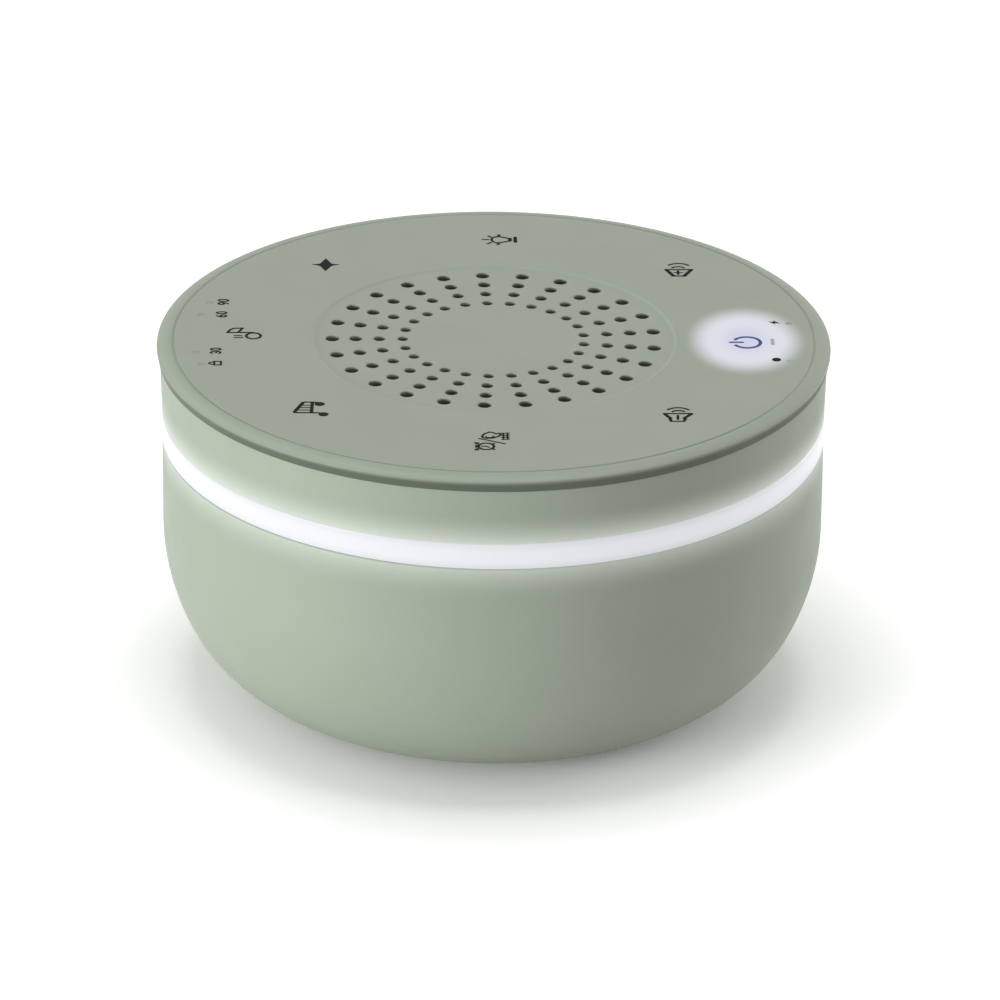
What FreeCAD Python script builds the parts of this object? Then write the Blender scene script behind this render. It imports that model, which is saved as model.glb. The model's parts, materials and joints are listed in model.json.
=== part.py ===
"""A round bedside sound machine: a capped bowl with a light ring, touch keys and a loudspeaker.

Millimetres. The origin is at the middle of the foot ring's underside, +Z is up, and the power
key lies towards +X. Each function below makes one sub-part.
"""

import FreeCAD
import Part
import math
import os

# Outer form
cap_radius = 55.0
cap_edge_inset = 0.35
cap_side = 2.5
cap_plate = 2.2
lip_drop = 0.75
lip_step = 0.05
wall_top_inset = 0.55
wall_low_inset = 0.8
wall = 2.2
upper_wall = 1.8
seam_edge = 0.15
ring_top_drop = 11.78
ring_height = 4.3
ring_proud = 0.1
ring_edge = 0.25
ring_gap = 0.22
bowl_straight = 15.2
bowl_foot_inset = 24.45
bowl_blend_angle = 27.0
foot_proud = 0.6
foot_inset = 1.75
foot_width = 5.5
foot_seat = 0.8
foot_edge = 0.3

# Top cover
groove_inset = 2.7
groove_width = 0.5
groove_depth = 0.35
dish_margin = 2.0
dish_slope = 0.9
dish_depth = 0.2
hole_rings = 4
holes_in_ring = 25
hole_ring_first = 14.83
hole_margin = 1.48
hole_radius_first = 0.9
hole_radius_step = 0.08
hole_row_angle = 180.0
rim_depth = 3.9
rim_thickness = 1.7
bead = 0.3
bead_half_height = 0.5
bead_rise = 1.0
blind_skin = 1.0

# Touch keys and their lights
key_count = 8
key_turn = -1.5
key_pad_radius = 4.1
key_pad_hole = 1.8
key_pad_margin = 0.2
touch_board_thickness = 1.4
touch_board_margin = 0.4
touch_pad_thickness = 0.4
touch_screw_inset = 6.7
touch_screw_angles = (67.5, 157.5, 247.5, 337.5)
touch_seat_radius = 2.6
led_length = 1.6
led_width = 0.8
led_height = 0.35
guide_radius = 8.4
guide_thickness = 1.2
indicator_inset = 1.4
indicator_radius = 0.5
indicator_recess = 0.02
indicator_turns = (9.0, -9.0, 165.0, 171.0, 189.0, 195.0)
touch_chip_side = 6.0
touch_chip_height = 1.0
touch_chip_angles = (33.0, 120.0, 240.0)

# Light ring assembly
light_board_thickness = 1.2
light_board_width = 10.0
ring_light_count = 24
ring_light_length = 2.8
ring_light_depth = 1.2
ring_light_height = 1.6
reflector_thickness = 1.1
reflector_skirt = 0.8
ring_rib = 1.5
ring_rib_width = 0.9
ring_foot = 1.0
ring_foot_width = 1.8

# Shell fastening
ledge_drop = 6.5
ledge_thickness = 2.0
boss_inset = 6.4
boss_radius = 3.0
boss_shoulder_radius = 4.2
boss_angles = (45.0, 135.0, 225.0, 315.0)
light_board_drop = 15.5

# Loudspeaker
gasket_thickness = 2.5
cloth_thickness = 0.3
basket_opening = 26.6
basket_flange = 4.4
basket_sheet = 1.2
basket_depth = 13.6
basket_neck_radius = 19.0
basket_step = 1.6
basket_windows = 6
basket_window_turn = 30.0
window_width = 9.0
window_edge = 1.0
spider_height = 3.4
spider_waves = 3
spider_flat = 1.5
spider_crest = 1.0
spider_trough = 0.6
ear_reach = 2.5
ear_radius = 3.0
ear_seat_radius = 2.6
ear_angles = (22.5, 112.5, 202.5, 292.5)
landing_width = 1.4
surround_thickness = 0.3
surround_roll = 1.9
surround_flat = 0.9
cone_paper = 0.4
cone_depth = 8.4
cone_bow = 0.8
coil_bore = 10.0
former_wall = 0.2
former_length = 10.9
coil_wall = 0.5
coil_length = 4.0
coil_gap = 0.3
dust_cap_overlap = 1.6
dust_cap_rise = 3.2
dust_cap_lift = 0.15
top_plate_thickness = 3.0
top_plate_inset = 0.5
magnet_radius = 20.0
magnet_bore = 13.0
magnet_thickness = 7.5
yoke_thickness = 3.2
yoke_edge = 1.0
terminal_width = 9.0
terminal_thickness = 1.2
terminal_angle = 60.0
tag_length = 1.4
tag_width = 2.0
tag_thickness = 0.8

# Main board, battery and socket
cell_gap = 0.7
driver_gap = 4.3
main_board_thickness = 1.6
main_board_margin = 0.6
tongue_margin = 1.6
tongue_width = 12.0
standoff_inset = 5.0
standoff_radius = 2.6
standoff_angles = (30.0, 150.0, 210.0, 330.0)
standoff_hole_depth = 7.0
notch_width = 8.0
notch_inset = 1.8
socket_width = 8.94
socket_height = 3.2
socket_length = 7.35
socket_sheet = 0.3
socket_setback = 1.0
socket_tongue_width = 6.7
socket_tongue = 0.7
socket_tongue_setback = 0.9
socket_holder = 1.6
ribbon_width = 8.0
ribbon_thickness = 0.3
ribbon_inset = 1.5
ribbon_connector = 2.4
ribbon_connector_height = 1.3
ribbon_connector_side = 1.0
cell_radius = 9.2
cell_length = 65.0
cell_edge = 0.6
cell_cap_radius = 2.6
cell_cap_height = 0.6
cradle_floor = 0.7
cradle_width = 23.0
cradle_length = 42.0
cradle_height = 9.0
strap_thickness = 0.5
strap_width = 10.0
strap_foot = 2.0
lead_radius = 0.45
lead_pitch = 2.2
lead_run = 5.5
lead_drop = 7.0
plug_width = 6.4
plug_depth = 4.6
plug_height = 4.4
plug_inset = 3.0
battery_plug_inset = 3.6
light_lead_angle = 120.0
chip_unit = 1.0
capacitor_radius = 2.5
capacitor_height = 5.5
capacitor_gap = 1.5
capacitor_angle = 285.0

# Screws
screw_shank = 1.1
screw_head_radius = 2.0
screw_head_height = 1.3
screw_cross = 0.45
screw_recess_length = 2.4
screw_recess_depth = 0.6
shell_screw_reach = 8.0
shell_screw_hole = 12.0
board_screw_reach = 5.0

# Clearances
slip = 0.1
screw_clearance = 0.2
socket_clearance = 0.25

# Heights above the floor, stacked from the foot up through the battery, board and loudspeaker
floor_top = foot_proud + wall
cell_axis = floor_top + cradle_floor + cell_radius
main_board_height = cell_axis + cell_radius + cell_gap
board_top = main_board_height + main_board_thickness
yoke_low = board_top + driver_gap
magnet_low = yoke_low + yoke_thickness
top_plate_low = magnet_low + magnet_thickness
basket_low = top_plate_low + top_plate_thickness
speaker_top = basket_low + basket_depth
plate_under = speaker_top + gasket_thickness
height = plate_under + cap_plate

# Heights that hang from the top
seam = height - cap_side
ring_top = height - ring_top_drop
ring_low = ring_top - ring_height
bowl_rim = ring_low - ring_gap
bowl_knee = bowl_rim - bowl_straight
ledge_top = height - ledge_drop
ledge_low = ledge_top - ledge_thickness
light_board_low = height - light_board_drop
light_board_top = light_board_low + light_board_thickness
touch_board_top = plate_under - touch_pad_thickness
touch_board_low = touch_board_top - touch_board_thickness

# Radii from the outside inwards
cap_edge_radius = cap_radius - cap_edge_inset
wall_top_radius = cap_radius - wall_top_inset
wall_low_radius = cap_radius - wall_low_inset
ring_radius = wall_low_radius + ring_proud
groove_radius = cap_radius - groove_inset
bowl_foot_radius = wall_low_radius - bowl_foot_inset
foot_outer = bowl_foot_radius - foot_inset
foot_inner = foot_outer - foot_width
upper_bore = wall_low_radius - upper_wall
rim_outer = upper_bore - slip
rim_inner = rim_outer - rim_thickness
boss_circle = upper_bore - boss_inset
ring_inner = upper_bore - slip - ring_rib_width
light_board_outer = ring_inner - 2 * slip
light_board_inner = light_board_outer - light_board_width
main_board_radius = boss_circle - boss_shoulder_radius - main_board_margin
standoff_circle = main_board_radius - standoff_inset
plug_circle = standoff_circle - plug_inset
notch_middle = main_board_radius - notch_inset
tongue_length = wall_low_radius - wall - tongue_margin

# Radii from the loudspeaker outwards
basket_radius = basket_opening + basket_flange
ear_circle = basket_radius + ear_reach
cone_radius = basket_opening - 2 * surround_roll - surround_flat
cloth_radius = basket_opening + landing_width - 2 * slip
dish_radius = cloth_radius + dish_margin
hole_ring_step = (cloth_radius - hole_margin - hole_ring_first) / (hole_rings - 1)
top_plate_radius = basket_neck_radius - top_plate_inset
dust_cap_radius = coil_bore + dust_cap_overlap
coil_outer = coil_bore + former_wall + coil_wall
touch_board_inner = ear_circle + ear_radius + touch_board_margin
touch_board_outer = rim_inner - touch_board_margin
key_circle = touch_board_inner + key_pad_radius + key_pad_margin
indicator_circle = touch_board_outer - indicator_inset
touch_chip_circle = touch_board_outer - touch_screw_inset
ribbon_place = touch_board_inner + ribbon_inset


def point(radius, angle, z=0.0):
    turn = math.radians(angle)
    return FreeCAD.Vector(radius * math.cos(turn), radius * math.sin(turn), z)


def rod(radius, low, high, place=None):
    """An upright cylinder from low to high."""
    where = place or FreeCAD.Vector()
    return Part.makeCylinder(radius, high - low, FreeCAD.Vector(where.x, where.y, low))


def washer(inner, outer, low, high, place=None):
    return rod(outer, low, high, place).cut(rod(inner, low - 1, high + 1, place))


def block(length, width, low, high, radius=0.0, angle=0.0):
    """An upright box whose length runs outwards, centred at a radius and an angle."""
    corner = FreeCAD.Vector(radius - length / 2, -width / 2, low)
    box = Part.makeBox(length, width, high - low, corner)
    box.rotate(FreeCAD.Vector(), FreeCAD.Vector(0, 0, 1), angle)
    return box


def turned(start, *steps):
    """A solid turned about Z. A step is the (radius, z) of a line's end, or an arc's middle and end."""
    edges = []
    here = FreeCAD.Vector(start[0], 0, start[1])
    first = here
    for step in steps:
        if isinstance(step[0], tuple):
            middle = FreeCAD.Vector(step[0][0], 0, step[0][1])
            there = FreeCAD.Vector(step[1][0], 0, step[1][1])
            edges.append(Part.Arc(here, middle, there).toShape())
        else:
            there = FreeCAD.Vector(step[0], 0, step[1])
            edges.append(Part.LineSegment(here, there).toShape())
        here = there
    edges.append(Part.LineSegment(here, first).toShape())
    face = Part.Face(Part.Wire(edges))
    return face.revolve(FreeCAD.Vector(), FreeCAD.Vector(0, 0, 1), 360)


def save(name, shape):
    """Writes one sub-part. A list is a group of separate solids."""
    whole = Part.makeCompound(shape) if isinstance(shape, list) else shape.removeSplitter()
    whole.exportStep(os.path.join("parts", name + ".step"))
    print(name, len(whole.Solids), whole.isValid(), round(whole.Volume, 1))


def screw(place, seat, end, down):
    """A pan head screw with a cross recess. The head lies on seat, and the shank runs to end."""
    length = abs(seat - end)
    crown = (screw_head_radius * 0.75, screw_head_height * 0.92)
    body = turned(
        (0, screw_head_height),
        (crown, (screw_head_radius, screw_head_height * 0.4)),
        (screw_head_radius, 0),
        (screw_shank, 0),
        (screw_shank, -length),
        (0, -length),
    )
    for angle in (0, 90):
        recess = screw_head_height - screw_recess_depth
        body = body.cut(block(screw_recess_length, screw_cross, recess, 10, 0, angle))
    if not down:
        body.rotate(FreeCAD.Vector(), FreeCAD.Vector(1, 0, 0), 180)
    body.translate(FreeCAD.Vector(place.x, place.y, seat))
    return body


def lead(points):
    """One round lead along straight runs joined by tangent arcs."""
    edges = []
    here = points[0]
    for before, corner, after in zip(points, points[1:], points[2:]):
        inward = corner - before
        outward = after - corner
        turn = inward.getAngle(outward)
        reach = 0.45 * min(inward.Length, outward.Length)
        radius = reach / math.tan(turn / 2)
        entry = corner - inward.normalize() * reach
        leave = corner + outward.normalize() * reach
        centre_side = (outward - inward).normalize()
        middle = corner + centre_side * (radius / math.cos(turn / 2) - radius)
        edges.append(Part.LineSegment(here, entry).toShape())
        edges.append(Part.Arc(entry, middle, leave).toShape())
        print("lead radius", round(radius, 2))
        here = leave
    edges.append(Part.LineSegment(here, points[-1]).toShape())
    path = Part.Wire(edges)
    circle = Part.makeCircle(lead_radius, points[0], points[1] - points[0])
    tube = path.makePipeShell([Part.Wire([circle])], True, False)
    share = tube.Volume / (math.pi * lead_radius ** 2 * path.Length)
    print("lead length", round(path.Length, 1), "volume share", round(share, 4))
    return tube


def bowl_arcs(inset):
    """The bowl's two tangent arcs from the knee to the foot, moved inwards: (middle, end) pairs."""
    width = wall_low_radius - bowl_foot_radius
    drop = bowl_knee - foot_proud
    turn = math.radians(bowl_blend_angle)
    across = math.cos(turn)
    along = math.sin(turn)
    scale = 1 - across - along
    side = (width * (1 - along) - drop * across) / scale
    foot = (drop * (1 - across) - width * along) / scale
    side_centre = (wall_low_radius - side, bowl_knee)
    foot_centre = (bowl_foot_radius, foot_proud + foot)

    def on(centre, radius, angle):
        return (centre[0] + radius * math.cos(angle), centre[1] - radius * math.sin(angle))

    start = on(side_centre, side - inset, 0)
    join = on(side_centre, side - inset, turn)
    end = on(foot_centre, foot - inset, math.pi / 2)
    side_middle = on(side_centre, side - inset, turn / 2)
    foot_middle = on(foot_centre, foot - inset, (turn + math.pi / 2) / 2)
    return start, side_middle, join, foot_middle, end


def bowl_envelope():
    """Everything inside the bowl's outer surface, up to its rim."""
    start, side_middle, join, foot_middle, end = bowl_arcs(0)
    return turned(
        (0, bowl_rim), (start[0], bowl_rim), start, (side_middle, join), (foot_middle, end),
        (0, end[1]),
    )


def key_places():
    return [point(key_circle, key_turn + 360 / key_count * n) for n in range(key_count)]


def indicator_places():
    return [point(indicator_circle, key_turn + turn) for turn in indicator_turns]


def touch_screw_places():
    return [point(touch_chip_circle, angle) for angle in touch_screw_angles]


def make_top_cover():
    lip_start = groove_radius + groove_width / 2
    lip_top = height - lip_step
    lip_width = cap_radius - lip_start
    lip_fall = lip_top - (height - lip_drop)
    lip_curve = (lip_width ** 2 + lip_fall ** 2) / (2 * lip_fall)
    half_turn = math.asin(lip_width / lip_curve) / 2
    lip_middle = (
        lip_start + lip_curve * math.sin(half_turn),
        lip_top - lip_curve * (1 - math.cos(half_turn)),
    )
    rim_low = seam - rim_depth
    bead_z = rim_low + bead_rise
    cover = turned(
        (0, height - dish_depth),
        (dish_radius - dish_slope, height - dish_depth),
        (dish_radius, height),
        (groove_radius - groove_width / 2, height),
        (groove_radius - groove_width / 4, height - groove_depth),
        (groove_radius + groove_width / 4, height - groove_depth),
        (lip_start, lip_top),
        (lip_middle, (cap_radius, height - lip_drop)),
        (cap_edge_radius, seam),
        (rim_outer, seam),
        (rim_outer, bead_z + bead_half_height),
        (rim_outer + bead, bead_z),
        (rim_outer, bead_z - bead_half_height),
        (rim_outer, rim_low),
        (rim_inner, rim_low),
        (rim_inner, plate_under),
        (0, plate_under),
    )
    seats = [rod(ear_seat_radius, speaker_top, plate_under, point(ear_circle, a)) for a in ear_angles]
    seats += [rod(touch_seat_radius, touch_board_top, plate_under, p) for p in touch_screw_places()]
    cover = cover.fuse(seats)
    holes = []
    for ring in range(hole_rings):
        for n in range(holes_in_ring):
            place = point(hole_ring_first + hole_ring_step * ring, hole_row_angle + 360 / holes_in_ring * n)
            radius = hole_radius_first + hole_radius_step * ring
            holes.append(rod(radius, plate_under - 1, height + 1, place))
    holes += [rod(indicator_radius + slip / 2, plate_under - 1, height + 1, p) for p in indicator_places()]
    blind = height - blind_skin
    holes += [rod(screw_shank, speaker_top - 1, blind, point(ear_circle, a)) for a in ear_angles]
    holes += [rod(screw_shank, touch_board_top - 1, blind, place) for place in touch_screw_places()]
    holes.append(rod(guide_radius + slip / 2, plate_under - 1, plate_under + guide_thickness, key_places()[0]))
    return cover.cut(Part.makeCompound(holes))


def make_grille_cloth():
    return rod(cloth_radius, plate_under - cloth_thickness, plate_under)


def make_upper_shell():
    bead_z = seam - rim_depth + bead_rise
    groove_half = bead_half_height + 2 * slip
    shell = turned(
        (upper_bore, ring_top),
        (wall_low_radius - seam_edge, ring_top),
        (wall_low_radius, ring_top + seam_edge),
        (wall_top_radius, seam - seam_edge),
        (wall_top_radius - seam_edge, seam),
        (upper_bore, seam),
        (upper_bore, bead_z + groove_half),
        (upper_bore + bead + slip / 2, bead_z),
        (upper_bore, bead_z - groove_half),
        (upper_bore, ledge_top),
        (boss_circle - boss_radius - 2 * slip, ledge_top),
        (boss_circle - boss_radius - 2 * slip, ledge_low),
        (upper_bore, ledge_low),
    )
    holes = [
        rod(screw_shank + screw_clearance, ledge_low - 1, ledge_top + 1, point(boss_circle, a))
        for a in boss_angles
    ]
    return shell.cut(Part.makeCompound(holes))


def make_light_ring():
    foot_low = bowl_rim - ring_foot
    return turned(
        (ring_inner, foot_low),
        (ring_inner + ring_foot_width, foot_low),
        (ring_inner + ring_foot_width, ring_low),
        (ring_radius - ring_edge, ring_low),
        ((ring_radius - 0.3 * ring_edge, ring_low + 0.3 * ring_edge), (ring_radius, ring_low + ring_edge)),
        (ring_radius, ring_top - ring_edge),
        ((ring_radius - 0.3 * ring_edge, ring_top - 0.3 * ring_edge), (ring_radius - ring_edge, ring_top)),
        (upper_bore - slip, ring_top),
        (upper_bore - slip, ring_top + ring_rib),
        (ring_inner, ring_top + ring_rib),
    )


def socket_opening(clearance, length):
    """A flat-sided round-ended bar along X through the wall, at the socket."""
    half = socket_height / 2 + clearance
    middle = board_top + socket_height / 2
    side = socket_width / 2 + clearance - half
    outside = -(wall_low_radius + 1)
    parts = []
    for y in (-side, side):
        parts.append(
            Part.makeCylinder(half, length, FreeCAD.Vector(outside, y, middle), FreeCAD.Vector(1, 0, 0))
        )
    flat = Part.makeBox(length, 2 * side, 2 * half, FreeCAD.Vector(outside, -side, middle - half))
    return flat.fuse(parts).removeSplitter()


def make_lower_shell():
    start, side_middle, join, foot_middle, end = bowl_arcs(0)
    inner_start, inner_side, inner_join, inner_foot, inner_end = bowl_arcs(wall)
    rebate = ring_inner + ring_foot_width + slip
    shell = turned(
        (0, end[1]),
        end,
        (foot_middle, join),
        (side_middle, start),
        (start[0], bowl_rim - seam_edge),
        (start[0] - seam_edge, bowl_rim),
        (rebate, bowl_rim),
        (rebate, bowl_rim - ring_foot),
        (inner_start[0], bowl_rim - ring_foot),
        inner_start,
        (inner_side, inner_join),
        (inner_foot, inner_end),
        (0, inner_end[1]),
    )
    posts = []
    for angle in boss_angles:
        place = point(boss_circle, angle)
        posts.append(rod(boss_radius, floor_top, ledge_low, place))
        posts.append(rod(boss_shoulder_radius, foot_proud, light_board_low, place))
    for angle in standoff_angles:
        posts.append(rod(standoff_radius, foot_proud, main_board_height, point(standoff_circle, angle)))
    inside = bowl_envelope().fuse(rod(upper_bore - 1, bowl_rim - 1, ledge_low))
    shell = shell.fuse([post.common(inside) for post in posts])
    bored = ledge_low - shell_screw_hole
    holes = [rod(screw_shank, bored, ledge_low + 1, point(boss_circle, a)) for a in boss_angles]
    bored = main_board_height - standoff_hole_depth
    holes += [
        rod(screw_shank, bored, main_board_height + 1, point(standoff_circle, a))
        for a in standoff_angles
    ]
    holes.append(socket_opening(socket_clearance, 2 * wall + 1))
    holes.append(washer(foot_inner - slip, foot_outer + slip, -1, foot_proud + foot_seat))
    return shell.cut(Part.makeCompound(holes))


def make_foot_ring():
    return turned(
        (foot_inner, foot_proud + foot_seat),
        (foot_inner, foot_edge),
        (foot_inner + foot_edge, 0),
        (foot_outer - foot_edge, 0),
        (foot_outer, foot_edge),
        (foot_outer, foot_proud + foot_seat),
    )


def make_touch_board():
    board = washer(touch_board_inner, touch_board_outer, touch_board_low, touch_board_top)
    holes = [
        rod(screw_shank + screw_clearance, touch_board_low - 1, touch_board_top + 1, place)
        for place in touch_screw_places()
    ]
    return board.cut(Part.makeCompound(holes))


def make_touch_pads():
    return [
        washer(key_pad_hole, key_pad_radius, touch_board_top, plate_under, place)
        for place in key_places()
    ]


def make_key_lights():
    lights = []
    for n in range(key_count):
        angle = key_turn + 360 / key_count * n
        top = touch_board_top + led_height
        lights.append(block(led_width, led_length, touch_board_top, top, key_circle, angle))
    for turn in indicator_turns:
        top = touch_board_top + led_height
        lights.append(
            block(led_width, led_length, touch_board_top, top, indicator_circle, key_turn + turn)
        )
    return lights


def make_power_light_guide():
    return rod(guide_radius, plate_under, plate_under + guide_thickness, key_places()[0])


def make_indicator_pipes():
    top = height - indicator_recess
    return [rod(indicator_radius, plate_under, top, place) for place in indicator_places()]


def make_touch_chips():
    chips = [
        block(touch_chip_side, touch_chip_side, touch_board_low - touch_chip_height, touch_board_low,
              touch_chip_circle, angle)
        for angle in touch_chip_angles
    ]
    low = touch_board_low - ribbon_connector_height
    width = ribbon_width + 2 * ribbon_connector_side
    chips.append(block(ribbon_connector, width, low, touch_board_low, ribbon_place))
    return chips


def make_touch_ribbon():
    low = board_top + ribbon_connector_height
    high = touch_board_low - ribbon_connector_height
    return block(ribbon_thickness, ribbon_width, low, high, ribbon_place)


def make_touch_board_screws():
    end = height - blind_skin - 2 * slip
    return [screw(place, touch_board_low, end, False) for place in touch_screw_places()]


def make_speaker_gasket():
    outer = ear_circle - ear_radius
    return washer(basket_opening + landing_width + slip, outer, speaker_top, plate_under)


def make_speaker_basket():
    flange_low = speaker_top - basket_sheet
    ledge = basket_low + spider_height
    basket = turned(
        (basket_opening, speaker_top),
        (basket_radius, speaker_top),
        (basket_radius, flange_low),
        (basket_opening + basket_step, flange_low),
        (basket_neck_radius + basket_sheet, ledge - basket_sheet),
        (basket_neck_radius + basket_sheet, basket_low),
        (coil_outer + coil_gap, basket_low),
        (coil_outer + coil_gap, basket_low + basket_sheet),
        (basket_neck_radius - basket_step, basket_low + basket_sheet),
        (basket_neck_radius - basket_step, ledge),
        (basket_neck_radius + basket_step / 4, ledge),
        (basket_opening, flange_low - basket_sheet / 2),
    )
    ears = [rod(ear_radius, flange_low, speaker_top, point(ear_circle, a)) for a in ear_angles]
    basket = basket.fuse(ears)
    cuts = []
    for n in range(basket_windows):
        angle = 360 / basket_windows * n + basket_window_turn
        middle = (basket_neck_radius + basket_opening) / 2 + basket_sheet
        reach = basket_opening - basket_neck_radius + 3 * basket_sheet
        high = flange_low - basket_sheet
        cuts.append(block(reach, window_width, ledge + window_edge, high, middle, angle))
    cuts += [
        rod(screw_shank + screw_clearance, flange_low - 1, speaker_top + 1, point(ear_circle, a))
        for a in ear_angles
    ]
    return basket.cut(Part.makeCompound(cuts))


def make_surround():
    """A half roll that hangs between the basket's landing and the cone's rim."""
    top = speaker_top + surround_thickness
    inner = cone_radius
    outer = inner + 2 * surround_roll
    middle = inner + surround_roll
    low = speaker_top - surround_roll
    return turned(
        (basket_opening + landing_width, top),
        (basket_opening + landing_width, speaker_top),
        (outer, speaker_top),
        ((middle, low), (inner, speaker_top)),
        (inner - landing_width, speaker_top),
        (inner - landing_width, top),
        (inner + surround_thickness, top),
        ((middle, low + 2 * surround_thickness), (outer - surround_thickness, top)),
    )


def cone_height(radius):
    """The upper surface of the cone between its neck and its rim."""
    neck = coil_bore + former_wall
    share = (radius - neck) / (cone_radius - neck)
    return speaker_top - cone_depth * (1 - share) - cone_bow * math.sin(math.pi * share)


def make_speaker_cone():
    neck = coil_bore + former_wall
    edge = cone_radius - landing_width
    middle = (neck + cone_radius) / 2
    low = speaker_top - cone_depth
    return turned(
        (neck, low),
        ((middle, cone_height(middle)), (edge, cone_height(edge))),
        (edge, speaker_top),
        (cone_radius, speaker_top),
        (cone_radius, speaker_top - cone_paper),
        ((middle, cone_height(middle) - cone_paper), (neck, low - 2 * cone_paper)),
    )


def make_dust_cap():
    """A dome of even thickness whose edge sits on the cone."""
    edge = cone_height(dust_cap_radius) + dust_cap_lift
    top = edge + dust_cap_rise
    sphere = (dust_cap_radius ** 2 + dust_cap_rise ** 2) / (2 * dust_cap_rise)
    half_turn = math.asin(dust_cap_radius / sphere) / 2
    middle = sphere * math.sin(half_turn)
    middle_height = top - sphere * (1 - math.cos(half_turn))
    return turned(
        (0, top),
        ((middle, middle_height), (dust_cap_radius, edge)),
        (dust_cap_radius, edge + cone_paper),
        ((middle, middle_height + cone_paper), (0, top + cone_paper)),
    )


def make_coil_former():
    high = speaker_top - cone_depth
    return washer(coil_bore, coil_bore + former_wall, high - former_length, high)


def make_voice_coil():
    middle = (basket_low + top_plate_low) / 2
    return washer(coil_bore + former_wall, coil_outer, middle - coil_length / 2, middle + coil_length / 2)


def make_spider():
    """A corrugated disc from the coil former to the basket's step."""
    seat = basket_low + spider_height
    inner = coil_bore + former_wall
    outer = basket_neck_radius - slip
    pitch = (outer - spider_flat - inner) / spider_waves
    upper = []
    lower = []
    for n in range(spider_waves):
        left = inner + pitch * n
        crest = seat + (spider_crest if n % 2 else -spider_trough)
        upper.append(((left + pitch / 2, crest + cone_paper), (left + pitch, seat + cone_paper)))
        lower.append(((left + pitch / 2, crest), (left, seat)))
    return turned(
        (inner, seat + cone_paper), *upper, (outer, seat + cone_paper), (outer, seat),
        (outer - spider_flat, seat), *reversed(lower),
    )


def make_top_plate():
    return washer(coil_outer + coil_gap, top_plate_radius, top_plate_low, basket_low)


def make_magnet():
    return washer(magnet_bore, magnet_radius, magnet_low, top_plate_low)


def make_yoke():
    plate = turned(
        (0, magnet_low), (top_plate_radius, magnet_low), (top_plate_radius, yoke_low + yoke_edge),
        (top_plate_radius - yoke_edge, yoke_low), (0, yoke_low),
    )
    return plate.fuse(rod(coil_bore - coil_gap, magnet_low, basket_low))


def make_speaker_terminal():
    inner = basket_neck_radius + basket_sheet
    high = basket_low + spider_height - basket_sheet
    middle = inner + terminal_thickness / 2
    plate = block(terminal_thickness, terminal_width, basket_low, high, middle, terminal_angle)
    tags = []
    for side in (-lead_pitch, lead_pitch):
        low = basket_low + tag_thickness / 2
        out = inner + terminal_thickness + tag_length / 2
        tag = block(tag_length, tag_width, low, low + tag_thickness, out, 0)
        tag.translate(FreeCAD.Vector(0, side, 0))
        tag.rotate(FreeCAD.Vector(), FreeCAD.Vector(0, 0, 1), terminal_angle)
        tags.append(tag)
    body = plate.cut(rod(inner, basket_low - 1, high + 1))
    return [body] + tags


def make_speaker_screws():
    seat = speaker_top - basket_sheet
    end = height - blind_skin - 2 * slip
    return [screw(point(ear_circle, a), seat, end, False) for a in ear_angles]


def upright_plane(angle, side):
    """Points in the upright plane at an angle, moved sideways."""
    across = point(side, angle + 90)

    def place(radius, z):
        return point(radius, angle, z) + across

    return place


def make_speaker_leads():
    """From the terminal's tags down to their plug on the main board."""
    leads = []
    start = basket_neck_radius + basket_sheet + terminal_thickness + tag_length
    middle = basket_low + tag_thickness
    for side in (-lead_pitch, lead_pitch):
        at = upright_plane(terminal_angle, side)
        leads.append(lead([
            at(start, middle),
            at(start + lead_run, middle),
            at(plug_circle, middle - lead_drop),
            at(plug_circle, board_top + plug_height),
        ]))
    return leads


def make_light_leads():
    """From the light board's inner edge down to their plug on the main board."""
    leads = []
    edge = light_board_inner + tag_length
    for side in (-lead_pitch / 2, lead_pitch / 2):
        at = upright_plane(light_lead_angle, side)
        leads.append(lead([
            at(edge, light_board_low),
            at(edge, light_board_low - lead_run),
            at(plug_circle, board_top + plug_height + lead_drop),
            at(plug_circle, board_top + plug_height),
        ]))
    return leads


def make_battery_leads():
    """From the cell's cap, up through the main board's notch and down into their plug."""
    leads = []
    end = cell_length / 2 + cell_cap_height
    plug = plug_circle - battery_plug_inset
    high = board_top + plug_height + lead_drop
    for side in (-lead_pitch / 2, lead_pitch / 2):
        leads.append(lead([
            FreeCAD.Vector(side, end, cell_axis),
            FreeCAD.Vector(side, notch_middle, cell_axis),
            FreeCAD.Vector(side, notch_middle, high),
            FreeCAD.Vector(side, plug, high),
            FreeCAD.Vector(side, plug, board_top + plug_height),
        ]))
    return leads


def make_light_board():
    board = washer(light_board_inner, light_board_outer, light_board_low, light_board_top)
    holes = [
        rod(boss_radius + slip, light_board_low - 1, light_board_top + 1, point(boss_circle, a))
        for a in boss_angles
    ]
    return board.cut(Part.makeCompound(holes))


def make_ring_lights():
    radius = light_board_outer - ring_light_depth / 2 - slip
    step = 360 / ring_light_count
    top = light_board_top + ring_light_height
    return [
        block(ring_light_depth, ring_light_length, light_board_top, top, radius, step * (n + 0.5))
        for n in range(ring_light_count)
    ]


def make_light_reflector():
    low = ledge_low - reflector_thickness
    inner = boss_circle - boss_radius - reflector_skirt - 2 * slip
    ring = washer(inner, light_board_outer, low, ledge_low)
    skirt = washer(inner, inner + reflector_skirt, light_board_top, low)
    holes = [
        rod(boss_radius + slip, light_board_top - 1, ledge_low + 1, point(boss_circle, a))
        for a in boss_angles
    ]
    return ring.fuse(skirt).cut(Part.makeCompound(holes))


def make_shell_screws():
    end = ledge_low - shell_screw_reach
    return [screw(point(boss_circle, a), ledge_top, end, True) for a in boss_angles]


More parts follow.
